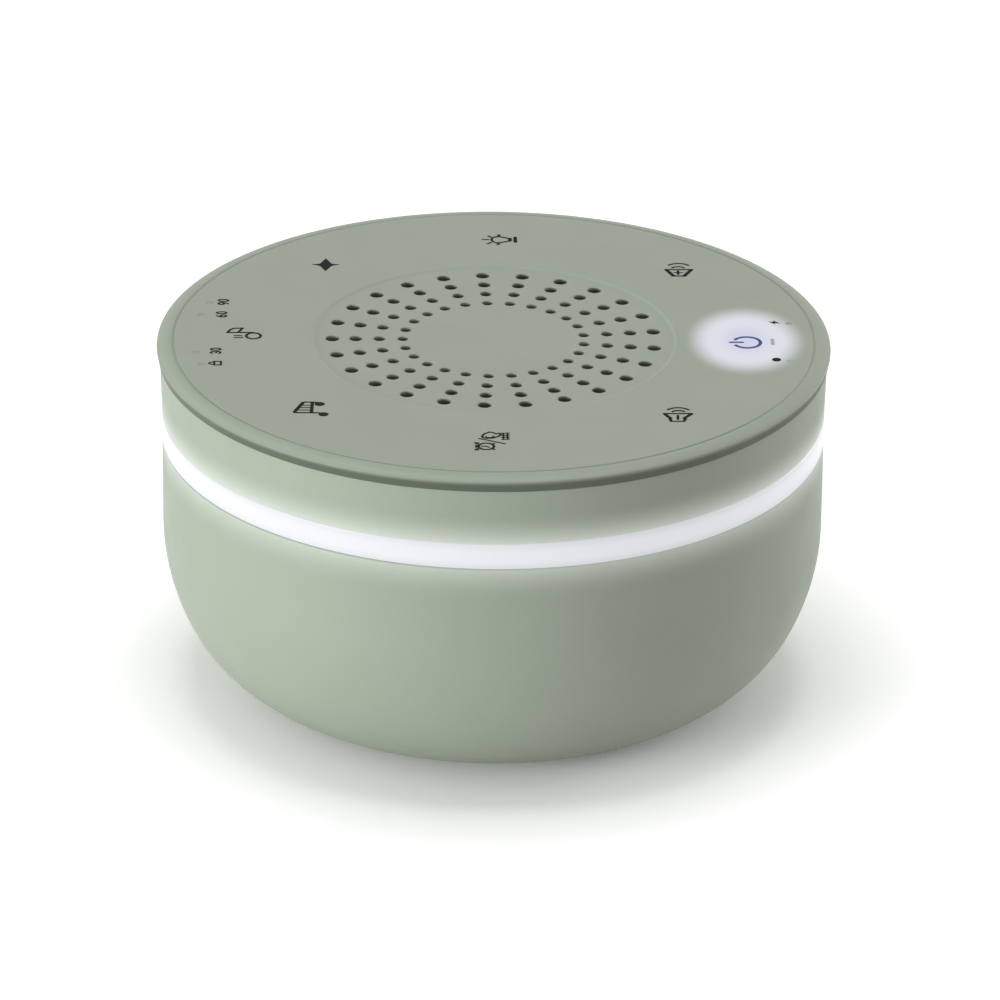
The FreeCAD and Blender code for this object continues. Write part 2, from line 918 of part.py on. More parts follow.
def make_main_board():
    board = rod(main_board_radius, main_board_height, board_top)
    tongue = Part.makeBox(
        tongue_length, tongue_width, main_board_thickness,
        FreeCAD.Vector(-tongue_length, -tongue_width / 2, main_board_height),
    )
    board = board.fuse(tongue)
    holes = [
        rod(screw_shank + screw_clearance, main_board_height - 1, board_top + 1, point(standoff_circle, a))
        for a in standoff_angles
    ]
    notch = FreeCAD.Vector(-notch_width / 2, notch_middle - notch_width / 3, main_board_height - 1)
    holes.append(Part.makeBox(notch_width, notch_width, main_board_thickness + 2, notch))
    return board.cut(Part.makeCompound(holes))


def make_board_chips():
    """Processor, sound memory, amplifier, charger and two reservoir capacitors."""
    chips = []
    for x, y, length, width, tall in (
        (-14, 0, 9, 9, 1.2),
        (-27, -9, 6, 5, 1.0),
        (-27, 9, 5, 5, 1.0),
        (14, -12, 7, 5, 1.2),
        (12, 12, 4, 4, 1.6),
    ):
        corner = FreeCAD.Vector(x - length / 2, y - width / 2, 0) * chip_unit
        corner.z = board_top
        chips.append(Part.makeBox(length * chip_unit, width * chip_unit, tall * chip_unit, corner))
    outer = main_board_radius - 2 * capacitor_radius
    for circle in (outer, outer - 2 * capacitor_radius - capacitor_gap):
        place = point(circle, capacitor_angle)
        chips.append(rod(capacitor_radius, board_top, board_top + capacitor_height, place))
    return chips


def make_board_plugs():
    """The wire connectors and the flat connector of the touch ribbon."""
    plugs = []
    for angle in (terminal_angle, light_lead_angle):
        plugs.append(block(plug_depth, plug_width, board_top, board_top + plug_height, plug_circle, angle))
    place = plug_circle - battery_plug_inset - plug_depth / 2
    corner = FreeCAD.Vector(-plug_width / 2, place, board_top)
    plugs.append(Part.makeBox(plug_width, plug_depth, plug_height, corner))
    top = board_top + ribbon_connector_height
    width = ribbon_width + 2 * ribbon_connector_side
    plugs.append(block(ribbon_connector, width, board_top, top, ribbon_place))
    return plugs


def make_board_screws():
    end = main_board_height - board_screw_reach
    return [screw(point(standoff_circle, a), board_top, end, True) for a in standoff_angles]


def socket_slab(front, length):
    """A box along X that is wider and taller than the socket, to keep a stretch of it."""
    size = 2 * socket_width
    corner = FreeCAD.Vector(front, -size / 2, board_top + socket_height / 2 - size / 2)
    return Part.makeBox(length, size, size, corner)


def make_usb_socket():
    """A folded sheet shell, open to the outside and closed behind."""
    front = -(wall_low_radius - socket_setback)
    shell = socket_opening(0, wall_low_radius).common(socket_slab(front, socket_length))
    hollow = socket_opening(-socket_sheet, wall_low_radius)
    return shell.cut(hollow.common(socket_slab(front - 1, socket_length - socket_sheet + 1)))


def make_usb_tongue():
    """The contact tongue and the block that holds it in the shell."""
    front = -(wall_low_radius - socket_setback)
    back = front + socket_length - socket_sheet
    middle = board_top + socket_height / 2
    corner = FreeCAD.Vector(
        front + socket_tongue_setback, -socket_tongue_width / 2, middle - socket_tongue / 2
    )
    length = back - socket_holder - corner.x
    tongue = Part.makeBox(length + socket_tongue, socket_tongue_width, socket_tongue, corner)
    hollow = socket_opening(-socket_sheet, wall_low_radius)
    return tongue.fuse(hollow.common(socket_slab(back - socket_holder, socket_holder)))


def make_battery_cell():
    end = cell_length / 2
    along = FreeCAD.Vector(0, 1, 0)
    can = Part.makeCylinder(cell_radius, cell_length, FreeCAD.Vector(0, -end, cell_axis), along)
    rims = [edge for edge in can.Edges if edge.BoundBox.YLength < 1e-6]
    can = can.makeFillet(cell_edge, rims)
    cap = Part.makeCylinder(cell_cap_radius, cell_cap_height, FreeCAD.Vector(0, end, cell_axis), along)
    return can.fuse(cap)


def make_battery_cradle():
    corner = FreeCAD.Vector(-cradle_width / 2, -cradle_length / 2, floor_top)
    body = Part.makeBox(cradle_width, cradle_length, cradle_height, corner)
    seat = Part.makeCylinder(
        cell_radius + slip / 2, cradle_length + 2,
        FreeCAD.Vector(0, -cradle_length / 2 - 1, cell_axis), FreeCAD.Vector(0, 1, 0),
    )
    return body.cut(seat)


def make_battery_strap():
    """A thin strap over the cell, with a foot on each side of the cradle."""
    inner = cell_radius + slip / 2
    outer = inner + strap_thickness
    top = floor_top + cradle_height
    start = FreeCAD.Vector(0, -strap_width / 2, cell_axis)
    along = FreeCAD.Vector(0, 1, 0)
    hoop = Part.makeCylinder(outer, strap_width, start, along)
    hoop = hoop.cut(Part.makeCylinder(inner, strap_width, start, along))
    side = 2 * outer
    upper = Part.makeBox(2 * side, strap_width, side, FreeCAD.Vector(-side, -strap_width / 2, top))
    hoop = hoop.common(upper)
    feet = []
    for side in (-1, 1):
        near = inner - strap_thickness
        far = inner + strap_foot
        low_x = min(side * near, side * far)
        feet.append(
            Part.makeBox(far - near, strap_width, strap_thickness,
                         FreeCAD.Vector(low_x, -strap_width / 2, top))
        )
    return hoop.fuse(feet).cut(Part.makeCylinder(inner, strap_width, start, along))


os.makedirs("parts", exist_ok=True)
save("top_cover", make_top_cover())
save("grille_cloth", make_grille_cloth())
save("upper_shell", make_upper_shell())
save("light_ring", make_light_ring())
save("lower_shell", make_lower_shell())
save("foot_ring", make_foot_ring())
save("touch_board", make_touch_board())
save("touch_pads", make_touch_pads())
save("key_lights", make_key_lights())
save("power_light_guide", make_power_light_guide())
save("indicator_pipes", make_indicator_pipes())
save("touch_chips", make_touch_chips())
save("touch_ribbon", make_touch_ribbon())
save("touch_board_screws", make_touch_board_screws())
save("speaker_gasket", make_speaker_gasket())
save("speaker_basket", make_speaker_basket())
save("surround", make_surround())
save("speaker_cone", make_speaker_cone())
save("dust_cap", make_dust_cap())
save("coil_former", make_coil_former())
save("voice_coil", make_voice_coil())
save("spider", make_spider())
save("top_plate", make_top_plate())
save("magnet", make_magnet())
save("yoke", make_yoke())
save("speaker_terminal", make_speaker_terminal())
save("speaker_screws", make_speaker_screws())
save("speaker_leads", make_speaker_leads())
save("light_board", make_light_board())
save("ring_lights", make_ring_lights())
save("light_reflector", make_light_reflector())
save("light_leads", make_light_leads())
save("shell_screws", make_shell_screws())
save("main_board", make_main_board())
save("board_chips", make_board_chips())
save("board_plugs", make_board_plugs())
save("board_screws", make_board_screws())
save("usb_socket", make_usb_socket())
save("usb_tongue", make_usb_tongue())
save("battery_cell", make_battery_cell())
save("battery_cradle", make_battery_cradle())
save("battery_strap", make_battery_strap())
save("battery_leads", make_battery_leads())
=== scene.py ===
"""Looks of the bedside sound machine: shells, light ring, touch marks, camera and soft light.

Every length below is in millimetres and is turned into metres where a mesh is made.
"""

import json
import math

import bmesh
import bpy
from mathutils import Matrix, Vector


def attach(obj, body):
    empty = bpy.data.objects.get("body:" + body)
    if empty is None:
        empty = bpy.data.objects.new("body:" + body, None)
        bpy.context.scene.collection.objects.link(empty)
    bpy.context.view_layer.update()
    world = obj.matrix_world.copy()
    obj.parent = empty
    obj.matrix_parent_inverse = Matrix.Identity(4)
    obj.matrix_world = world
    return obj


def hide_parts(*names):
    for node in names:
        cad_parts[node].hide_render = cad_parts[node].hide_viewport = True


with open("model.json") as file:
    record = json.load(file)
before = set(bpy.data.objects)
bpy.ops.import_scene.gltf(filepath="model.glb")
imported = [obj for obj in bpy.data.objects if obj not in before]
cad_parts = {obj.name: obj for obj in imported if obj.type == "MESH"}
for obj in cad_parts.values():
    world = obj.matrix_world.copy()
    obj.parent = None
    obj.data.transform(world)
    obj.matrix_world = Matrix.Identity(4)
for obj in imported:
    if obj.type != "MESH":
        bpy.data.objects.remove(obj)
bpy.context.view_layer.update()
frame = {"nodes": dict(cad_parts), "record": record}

MM = 0.001
SEGMENTS = 200

# The outer form, from the cover down to the floor of the bowl
HEIGHT = 60.5
CAP_RADIUS = 55.0
CAP_EDGE_RADIUS = 54.65
SEAM = 58.0
PLATE_UNDER = 58.3
LIP_TOP = 60.45
LIP_LOW = 59.75
GROOVE_RADIUS = 52.3
GROOVE_WIDTH = 0.42
GROOVE_DEPTH = 0.22
RIM_OUTER = 52.3
RIM_INNER = 50.6
RIM_LOW = 54.1
DISH_RADIUS = 29.8
DISH_SLOPE = 0.45
DISH_DEPTH = 0.2
WALL_TOP_RADIUS = 54.45
WALL_RADIUS = 54.2
UPPER_BORE = 52.4
RING_TOP = 48.72
RING_LOW = 44.42
RING_RADIUS = 54.3
RING_INNER = 51.4
BOWL_RIM = 44.2
BOWL_KNEE = 29.0
BOWL_FOOT_RADIUS = 29.75
BOWL_FLOOR = 0.6
BOWL_WALL = 2.2
BOWL_TURN = math.radians(27.0)
LEDGE_RADIUS = 53.3
LEDGE_DEPTH = 1.0

# The recess under the bowl and the rubber ring in it
SEAT_OUTER = 28.1
SEAT_INNER = 22.4
SEAT_TOP = 1.4
FOOT_OUTER = 28.0
FOOT_INNER = 22.5

# The flange between the shells, its screws and the posts that take them
FLANGE_TOP = 54.0
FLANGE_LOW = 52.0
FLANGE_BORE = 42.8
SCREW_CIRCLE = 46.0
SCREW_ANGLES = [math.radians(angle) for angle in (45, 135, 225, 315)]
SCREW_HOLE = 1.3
POST_RADIUS = 3.0
POST_LOW = 12.0
POST_TOP = 51.9

# The charging socket's opening
SOCKET_Z = 25.8
SOCKET_HALF_HEIGHT = 1.6
SOCKET_HALF_WIDTH = 4.47

# Grille holes: each ring's radius and the radius of its holes
HOLES_IN_RING = 25
HOLE_STEP = 3.83
HOLE_RINGS = [(14.83 + HOLE_STEP * ring, 0.9 + 0.08 * ring) for ring in range(4)]
HOLE_ROUNDING = 0.1

# Indicator points, and which of them is lit
INDICATOR_CIRCLE = 48.8
INDICATOR_HOLE = 0.55
INDICATOR_ANGLES = [math.radians(angle) for angle in (7.5, -10.5, 163.5, 169.5, 187.5, 193.5)]
INDICATORS = [(INDICATOR_CIRCLE * math.cos(a), INDICATOR_CIRCLE * math.sin(a)) for a in INDICATOR_ANGLES]
LIT_INDICATOR = INDICATORS[1]

# The lit patch round the power key: its middle, and how much narrower it is across X than along Y
HALO_X = 41.1
HALO_Y = -0.7
HALO_SHARE = 0.71

# Printed marks: their height above the cover and the usual widths of their lines
INK_HEIGHT = 0.02
THIN = 0.3
FINE = 0.34
LINE = 0.42
FULL = 0.44
HEAVY = 0.62

# Colours in sRGB, 0 to 255
SHELL = (150, 160, 144)
# Painted shade for the cover's side under its lip and for the walls of its holes
PAINTED_CAP_SHADE = (81, 90, 76)

# The light that reaches the part from all round, and the whiteness of the background
SKY_LEVEL = 0.47
WHITE_LEVEL = 1.0
FLOOR_TONE = 0.82
FLOOR_EXTRA_TONE = 0.42
FLOOR_EXTRA_LIGHT = 0.04
FLOOR_DROP = 0.02


def make_object(name, vertices, faces, smooth_angle=35.0):
    """A mesh object from points in millimetres."""
    mesh = bpy.data.meshes.new(name)
    mesh.from_pydata([[value * MM for value in vertex] for vertex in vertices], [], faces)
    work = bmesh.new()
    work.from_mesh(mesh)
    bmesh.ops.remove_doubles(work, verts=work.verts, dist=0.0008 * MM)
    bmesh.ops.recalc_face_normals(work, faces=work.faces)
    work.to_mesh(mesh)
    work.free()
    mesh.shade_smooth()
    mesh.set_sharp_from_angle(angle=math.radians(smooth_angle))
    piece = bpy.data.objects.new(name, mesh)
    bpy.context.scene.collection.objects.link(piece)
    return piece


def polar(radius, angle, z):
    return (radius * math.cos(angle), radius * math.sin(angle), z)


def rounded(corners, steps=5):
    """Turns (radius, z, fillet) corners of a closed outline into points."""
    points = []
    count = len(corners)
    for n, (r, z, fillet) in enumerate(corners):
        if not fillet:
            points.append((r, z))
            continue
        here = Vector((r, z))
        before = (Vector(corners[n - 1][:2]) - here).normalized()
        after = (Vector(corners[(n + 1) % count][:2]) - here).normalized()
        half = before.angle(after) / 2
        reach = fillet / math.tan(half)
        centre = here + (before + after).normalized() * (fillet / math.sin(half))
        start = here + before * reach - centre
        end = here + after * reach - centre
        first = math.atan2(start.y, start.x)
        swing = start.angle_signed(end)
        for step in range(steps + 1):
            turn = first - swing * step / steps
            points.append((centre.x + fillet * math.cos(turn), centre.y + fillet * math.sin(turn)))
    return points


def turned(outline):
    """Vertices and faces of a closed outline turned about Z."""
    vertices = []
    rings = []
    for r, z in outline:
        if r < 1e-6:
            rings.append([len(vertices)] * SEGMENTS)
            vertices.append((0, 0, z))
            continue
        rings.append(list(range(len(vertices), len(vertices) + SEGMENTS)))
        vertices += [polar(r, 2 * math.pi * n / SEGMENTS, z) for n in range(SEGMENTS)]
    faces = []
    for near, far in zip(rings, rings[1:] + rings[:1]):
        for n in range(SEGMENTS):
            m = (n + 1) % SEGMENTS
            corners = [near[n], near[m], far[m], far[n]]
            face = [c for k, c in enumerate(corners) if c != corners[k - 1]]
            if len(face) > 2:
                faces.append(face)
    return vertices, faces


def joined(*parts):
    """One list of vertices and faces from several."""
    vertices = []
    faces = []
    for some_vertices, some_faces in parts:
        start = len(vertices)
        vertices += some_vertices
        faces += [[start + index for index in face] for face in some_faces]
    return vertices, faces


def arc(centre, radius, start, end, steps):
    """Points of an arc in the (radius, z) plane, angles measured down from the horizontal."""
    points = []
    for step in range(steps + 1):
        angle = start + (end - start) * step / steps
        points.append((centre[0] + radius * math.cos(angle), centre[1] - radius * math.sin(angle)))
    return points


def cylinder(radius, low, high, x, y, segments=48):
    """An upright closed cylinder round (x, y)."""
    top = [(x + radius * math.cos(a), y + radius * math.sin(a), high)
           for a in (2 * math.pi * n / segments for n in range(segments))]
    low_ring = [(px, py, low) for px, py, pz in top]
    faces = [list(range(segments)), list(range(2 * segments - 1, segments - 1, -1))]
    for n in range(segments):
        m = (n + 1) % segments
        faces.append([n, segments + n, segments + m, m])
    return top + low_ring, faces


def carve(piece, cutter):
    """Cuts one closed mesh out of another and drops the cutter."""
    change = piece.modifiers.new("carve", "BOOLEAN")
    change.operation = "DIFFERENCE"
    change.solver = "EXACT"
    change.object = cutter
    bake_modifiers(piece)
    bpy.data.objects.remove(cutter)


def bake_modifiers(piece):
    bpy.context.view_layer.update()
    graph = bpy.context.evaluated_depsgraph_get()
    mesh = bpy.data.meshes.new_from_object(piece.evaluated_get(graph))
    piece.modifiers.clear()
    piece.data = mesh


def even_normals(piece, smooth_angle=35.0):
    """Keeps flat faces flat next to rounded edges."""
    piece.data.shade_smooth()
    piece.data.set_sharp_from_angle(angle=math.radians(smooth_angle))
    change = piece.modifiers.new("normals", "WEIGHTED_NORMAL")
    change.keep_sharp = True
    change.weight = 100
    bake_modifiers(piece)


# Materials

def shade(name, colour, roughness, metallic=0.0):
    """A principled material and its tree. Colours are sRGB, 0 to 255."""
    material = bpy.data.materials.new(name)
    material.use_nodes = True
    tree = material.node_tree
    tree.nodes.clear()
    out = tree.nodes.new("ShaderNodeOutputMaterial")
    bsdf = tree.nodes.new("ShaderNodeBsdfPrincipled")
    tree.links.new(bsdf.outputs[0], out.inputs[0])
    bsdf.inputs["Base Color"].default_value = linear(colour)
    bsdf.inputs["Roughness"].default_value = roughness
    bsdf.inputs["Metallic"].default_value = metallic
    return material, tree, bsdf


def linear(colour):
    """An sRGB colour as Blender's linear one."""
    values = []
    for value in colour:
        share = value / 255
        values.append(share / 12.92 if share < 0.04045 else ((share + 0.055) / 1.055) ** 2.4)
    return (*values, 1.0)


def place(tree):
    return tree.nodes.new("ShaderNodeTexCoord").outputs["Object"]


def noise(tree, scale, detail=3.0, stretch=None):
    """Noise with a scale in cells per metre."""
    node = tree.nodes.new("ShaderNodeTexNoise")
    node.inputs["Scale"].default_value = scale
    node.inputs["Detail"].default_value = detail
    source = place(tree)
    if stretch:
        mapping = tree.nodes.new("ShaderNodeMapping")
        mapping.inputs["Scale"].default_value = stretch
        tree.links.new(source, mapping.inputs["Vector"])
        source = mapping.outputs[0]
    tree.links.new(source, node.inputs["Vector"])
    return node.outputs["Fac"]


def wave(tree, scale, direction, kind="BANDS", distortion=0.0):
    """Even bands along one axis, or rings round it."""
    node = tree.nodes.new("ShaderNodeTexWave")
    node.wave_type = kind
    if kind == "BANDS":
        node.bands_direction = direction
    else:
        node.rings_direction = direction
    node.inputs["Scale"].default_value = scale
    node.inputs["Distortion"].default_value = distortion
    tree.links.new(place(tree), node.inputs["Vector"])
    return node.outputs["Fac"]


def math_node(tree, operation, *values):
    """A math node whose inputs are numbers or sockets."""
    node = tree.nodes.new("ShaderNodeMath")
    node.operation = operation
    for socket, value in zip(node.inputs, values):
        if isinstance(value, (int, float)):
            socket.default_value = value
        else:
            tree.links.new(value, socket)
    return node.outputs[0]


def length(tree, first, second):
    """The length of a vector from its two parts."""
    squares = [math_node(tree, "MULTIPLY", part, part) for part in (first, second)]
    return math_node(tree, "SQRT", math_node(tree, "ADD", *squares))


def axes(tree):
    """X, Y and Z of the place on the piece, in metres."""
    split = tree.nodes.new("ShaderNodeSeparateXYZ")
    tree.links.new(place(tree), split.inputs[0])
    return split.outputs


def ease(tree, value, start, end, low=0.0, high=1.0, kind="SMOOTHSTEP"):
    """A value that goes from low to high while another goes from start to end."""
    node = tree.nodes.new("ShaderNodeMapRange")
    node.interpolation_type = kind
    tree.links.new(value, node.inputs["Value"])
    node.inputs["From Min"].default_value = start
    node.inputs["From Max"].default_value = end
    node.inputs["To Min"].default_value = low
    node.inputs["To Max"].default_value = high
    return node.outputs["Result"]


def mix(tree, share, first, second):
    """A colour between two sRGB colours or sockets."""
    node = tree.nodes.new("ShaderNodeMix")
    node.data_type = "RGBA"
    tree.links.new(share, node.inputs["Factor"])
    for socket, value in ((node.inputs[6], first), (node.inputs[7], second)):
        if isinstance(value, tuple):
            socket.default_value = linear(value)
        else:
            tree.links.new(value, socket)
    return node.outputs[2]


def bump(tree, bsdf, height, strength, depth):
    """Surface relief of a depth in millimetres."""
    node = tree.nodes.new("ShaderNodeBump")
    node.inputs["Strength"].default_value = strength
    node.inputs["Distance"].default_value = depth * MM
    tree.links.new(height, node.inputs["Height"])
    tree.links.new(node.outputs[0], bsdf.inputs["Normal"])


def shifted(colour, amount):
    return tuple(max(0, min(255, value + amount)) for value in colour)


def moulded(name, colour, roughness=0.52, grain=5200.0, strength=0.10, spread=2.0):
    """Soft matte moulded plastic: faint colour drift, fine grain and uneven gloss."""
    material, tree, bsdf = shade(name, colour, roughness)
    drift = mix(tree, noise(tree, 45.0, 4.0), shifted(colour, -spread), shifted(colour, spread))
    tree.links.new(drift, bsdf.inputs["Base Color"])
    gloss = ease(tree, noise(tree, 120.0, 3.0), 0.3, 0.7, roughness - 0.04, roughness + 0.05)
    tree.links.new(gloss, bsdf.inputs["Roughness"])
    bump(tree, bsdf, noise(tree, grain, 2.0), strength, 0.02)
    bsdf.inputs["Specular IOR Level"].default_value = 0.4
    return material, tree, bsdf, drift


def glow_by_height(tree, bsdf, middle, reach, colour, strength):
    """Light that spreads from the ring over a shell and fades away from it."""
    away = math_node(tree, "ABSOLUTE", math_node(tree, "SUBTRACT", axes(tree)["Z"], middle * MM))
    near = ease(tree, away, 0.0, reach * MM, 1.0, 0.0, "LINEAR")
    share = math_node(tree, "POWER", near, 1.8)
    bsdf.inputs["Emission Color"].default_value = linear(colour)
    tree.links.new(math_node(tree, "MULTIPLY", share, strength), bsdf.inputs["Emission Strength"])


def cover_material():
    """The cover's plastic: painted shade down its side and in its holes, and a painted glow round the power
    key.
    """
    material, tree, bsdf, drift = moulded("cover_plastic", SHELL)
    x, y, z = axes(tree)
    # Painted shade: the walls of the grille holes and the side under the lip darken towards the shade
    # colour
    in_grille = ease(tree, length(tree, x, y), 30.0 * MM, 32.0 * MM, 1.0, 0.0)
    painted_hole_shade = math_node(tree, "MULTIPLY", in_grille, ease(tree, z, 60.22 * MM, 59.7 * MM))
    painted_side_shade = ease(tree, z, 60.12 * MM, 59.0 * MM)
    painted_shade_share = math_node(tree, "MAXIMUM", painted_hole_shade, painted_side_shade)
    tree.links.new(mix(tree, painted_shade_share, drift, PAINTED_CAP_SHADE), bsdf.inputs["Base Color"])
    # Painted glow round the power key, whiter and bluer close to the key
    across = math_node(tree, "SUBTRACT", x, HALO_X * MM)
    along = math_node(tree, "MULTIPLY", math_node(tree, "SUBTRACT", y, HALO_Y * MM), HALO_SHARE)
    distance = length(tree, across, along)
    share = ease(tree, distance, 5.8 * MM, 10.4 * MM, 1.0, 0.0)
    share = math_node(tree, "MULTIPLY", share, ease(tree, z, 60.0 * MM, 60.4 * MM))
    near_key = ease(tree, distance, 1.5 * MM, 5.0 * MM, 1.0, 0.0)
    tree.links.new(mix(tree, near_key, (229, 224, 255), (206, 200, 255)), bsdf.inputs["Emission Color"])
    tree.links.new(math_node(tree, "MULTIPLY", share, 0.49), bsdf.inputs["Emission Strength"])
    return material


def shell_material(name, middle, reach, strength):
    """Shell plastic with the ring's light on the part nearest to it."""
    material, tree, bsdf, _ = moulded(name, SHELL)
    glow_by_height(tree, bsdf, middle, reach, (236, 240, 240), strength)
    return material


def diffuser_material():
    """Opal plastic lit from behind, a little brighter along its middle."""
    material, tree, bsdf, _ = moulded("ring_diffuser", (150, 151, 154), 0.35, 2600.0, 0.04, 1.0)
    middle = (RING_TOP + RING_LOW) / 2 * MM
    away = math_node(tree, "ABSOLUTE", math_node(tree, "SUBTRACT", axes(tree)["Z"], middle))
    bsdf.inputs["Emission Color"].default_value = (0.95, 0.96, 1.0, 1.0)
    tree.links.new(ease(tree, away, 0.6 * MM, 2.3 * MM, 0.53, 0.44), bsdf.inputs["Emission Strength"])
    return material


def ink_material(name, colour, roughness=0.6, spread=3.0, gloss=0.4):
    """Printed ink, matt and very slightly uneven."""
    material, tree, bsdf, _ = moulded(name, colour, roughness, 6000.0, 0.05, spread)
    bsdf.inputs["Specular IOR Level"].default_value = gloss
    return material


def plain_material(name, colour, roughness, metallic, pattern, scale, depth, contrast):
    """A finish of one inner or small piece: a pattern that varies its colour and its surface."""
    material, tree, bsdf = shade(name, colour, roughness, metallic)
    if pattern == "noise":
        height = noise(tree, scale, 4.0)
    elif pattern == "brushed":
        height = noise(tree, scale, 3.0, (1.0, 1.0, 14.0))
    elif pattern == "rings":
        height = wave(tree, scale, "Z", "RINGS", 0.4)
    elif pattern == "turns":
        height = wave(tree, scale, "Z", "BANDS", 0.2)
    else:
        height = math_node(tree, "MULTIPLY", wave(tree, scale, "X"), wave(tree, scale, "Y"))
    tone = mix(tree, height, shifted(colour, -contrast), shifted(colour, contrast))
    tree.links.new(tone, bsdf.inputs["Base Color"])
    worn = ease(tree, noise(tree, 300.0, 3.0), 0.3, 0.7, roughness * 0.88, min(1.0, roughness * 1.12))
    tree.links.new(worn, bsdf.inputs["Roughness"])
    bump(tree, bsdf, height, 0.3, depth)
    return material


# Pieces

def make_cover():
    """The cover: a dished field of round holes, a thin groove and a falling lip."""
    top = HEIGHT - DISH_DEPTH
    steps = 8
    half_cell = math.pi / HOLES_IN_RING
    shares = [k / steps for k in range(steps)]
    parts = []
    for radius, hole in HOLE_RINGS:
        low, high = radius - HOLE_STEP / 2, radius + HOLE_STEP / 2
        for n in range(HOLES_IN_RING):
            middle = math.pi + 2 * half_cell * n
            first, last = middle - half_cell, middle + half_cell
            border = [(low, first + 2 * half_cell * share) for share in shares]
            border += [(low + HOLE_STEP * share, last) for share in shares]
            border += [(high, last - 2 * half_cell * share) for share in shares]
            border += [(high - HOLE_STEP * share, first) for share in shares]
            parts.append(holed_cell(border, radius, middle, hole, top))
    inner = HOLE_RINGS[0][0] - HOLE_STEP / 2
    outer = HOLE_RINGS[-1][0] + HOLE_STEP / 2
    for z in (top, PLATE_UNDER):
        parts.append(open_turned([(r, z) for r in (0.0, 3.2, 6.4, 9.6, inner)]))
    lip_start = GROOVE_RADIUS + GROOVE_WIDTH / 2
    width = CAP_RADIUS - lip_start
    fall = LIP_TOP - LIP_LOW
    curve = (width ** 2 + fall ** 2) / (2 * fall)
    turn = math.asin(width / curve)
    lip = [(lip_start + curve * math.sin(turn * k / 10), LIP_TOP - curve * (1 - math.cos(turn * k / 10)))
           for k in range(11)]
    dish_foot = DISH_RADIUS - DISH_SLOPE
    groove_start = GROOVE_RADIUS - GROOVE_WIDTH / 2
    groove_low = HEIGHT - GROOVE_DEPTH
    rim = [
        (outer, top), (dish_foot - 0.15, top), (dish_foot, top + 0.01),
        (DISH_RADIUS - DISH_SLOPE / 2, top + DISH_DEPTH / 2), (DISH_RADIUS - 0.05, HEIGHT - 0.01),
        (DISH_RADIUS + 0.15, HEIGHT), (34.0, HEIGHT), (40.0, HEIGHT), (46.0, HEIGHT), (50.5, HEIGHT),
        (groove_start - 0.08, HEIGHT), (groove_start, HEIGHT - 0.04),
        (GROOVE_RADIUS - 0.12, groove_low + 0.03), (GROOVE_RADIUS, groove_low),
        (GROOVE_RADIUS + 0.12, groove_low + 0.03), (lip_start - 0.03, LIP_TOP - 0.04),
    ]
    rim += [(lip_start + 0.04, LIP_TOP)] + lip[1:-2]
    rim += rounded([(*lip[-2], 0), (CAP_RADIUS, LIP_LOW, 0.3), (CAP_EDGE_RADIUS, SEAM, 0)], 6)[1:-1]
    rim += [(CAP_EDGE_RADIUS + 0.03, SEAM + 0.15), (CAP_EDGE_RADIUS - 0.12, SEAM), (RIM_OUTER, SEAM)]
    rim += [(RIM_OUTER, RIM_LOW + 1.5), (RIM_OUTER + 0.3, RIM_LOW + 1.0), (RIM_OUTER, RIM_LOW + 0.5)]
    rim += [(RIM_OUTER, RIM_LOW), (RIM_INNER, RIM_LOW), (RIM_INNER, PLATE_UNDER), (outer, PLATE_UNDER)]
    parts.append(open_turned(rim))
    piece = make_object("cover", *joined(*parts), 32.0)
    cutters = [cylinder(INDICATOR_HOLE, PLATE_UNDER - 1, HEIGHT + 1, *spot) for spot in INDICATORS]
    carve(piece, make_object("cutter", *joined(*cutters)))
    even_normals(piece, 32.0)
    return piece


def holed_cell(border, radius, middle, hole, top):
    """One cell of the grille plate, from its four-sided border to its rounded hole."""
    centre = Vector((radius * math.cos(middle), radius * math.sin(middle)))
    edge = [Vector((r * math.cos(a), r * math.sin(a))) for r, a in border]
    arms = [(spot - centre).normalized() for spot in edge]
    soft = HOLE_ROUNDING
    levels = (
        (1.0, hole, top), (0.6, hole + soft, top), (0.25, hole + soft, top), (0.0, hole + soft, top),
        (0.0, hole + soft * 0.3, top - soft * 0.3), (0.0, hole, top - soft), (0.0, hole, PLATE_UNDER),
        (0.25, hole, PLATE_UNDER), (1.0, hole, PLATE_UNDER),
    )
    vertices = []
    for share, size, z in levels:
        for spot, arm in zip(edge, arms):
            here = (centre + arm * size).lerp(spot, share)
            vertices.append((here.x, here.y, z))
    return vertices, side_faces(len(border), len(levels))


def side_faces(count, levels, start=0):
    """The quads between rings of points that follow each other in one list."""
    faces = []
    for level in range(levels - 1):
        a, b = start + level * count, start + (level + 1) * count
        for n in range(count):
            m = (n + 1) % count
            faces.append([a + n, b + n, b + m, a + m])
    return faces


def open_turned(outline):
    """Like turned, but the outline's two ends aren't joined."""
    vertices, faces = turned(outline)
    if outline[0][0] > 1e-6:
        return vertices, faces[:-SEGMENTS]
    fan = [[0, 1 + n, 1 + (n + 1) % SEGMENTS] for n in range(SEGMENTS)]
    return vertices, fan + side_faces(SEGMENTS, len(outline) - 1, 1)


def bowl_outline(inset):
    """The bowl's wall from its knee to its floor, moved inwards."""
    width = WALL_RADIUS - BOWL_FOOT_RADIUS
    drop = BOWL_KNEE - BOWL_FLOOR
    across, along = math.cos(BOWL_TURN), math.sin(BOWL_TURN)
    scale = 1 - across - along
    side = (width * (1 - along) - drop * across) / scale
    foot = (drop * (1 - across) - width * along) / scale
    points = arc((WALL_RADIUS - side, BOWL_KNEE), side - inset, 0, BOWL_TURN, 24)
    points += arc((BOWL_FOOT_RADIUS, BOWL_FLOOR + foot), foot - inset, BOWL_TURN, math.pi / 2, 40)[1:]
    return points


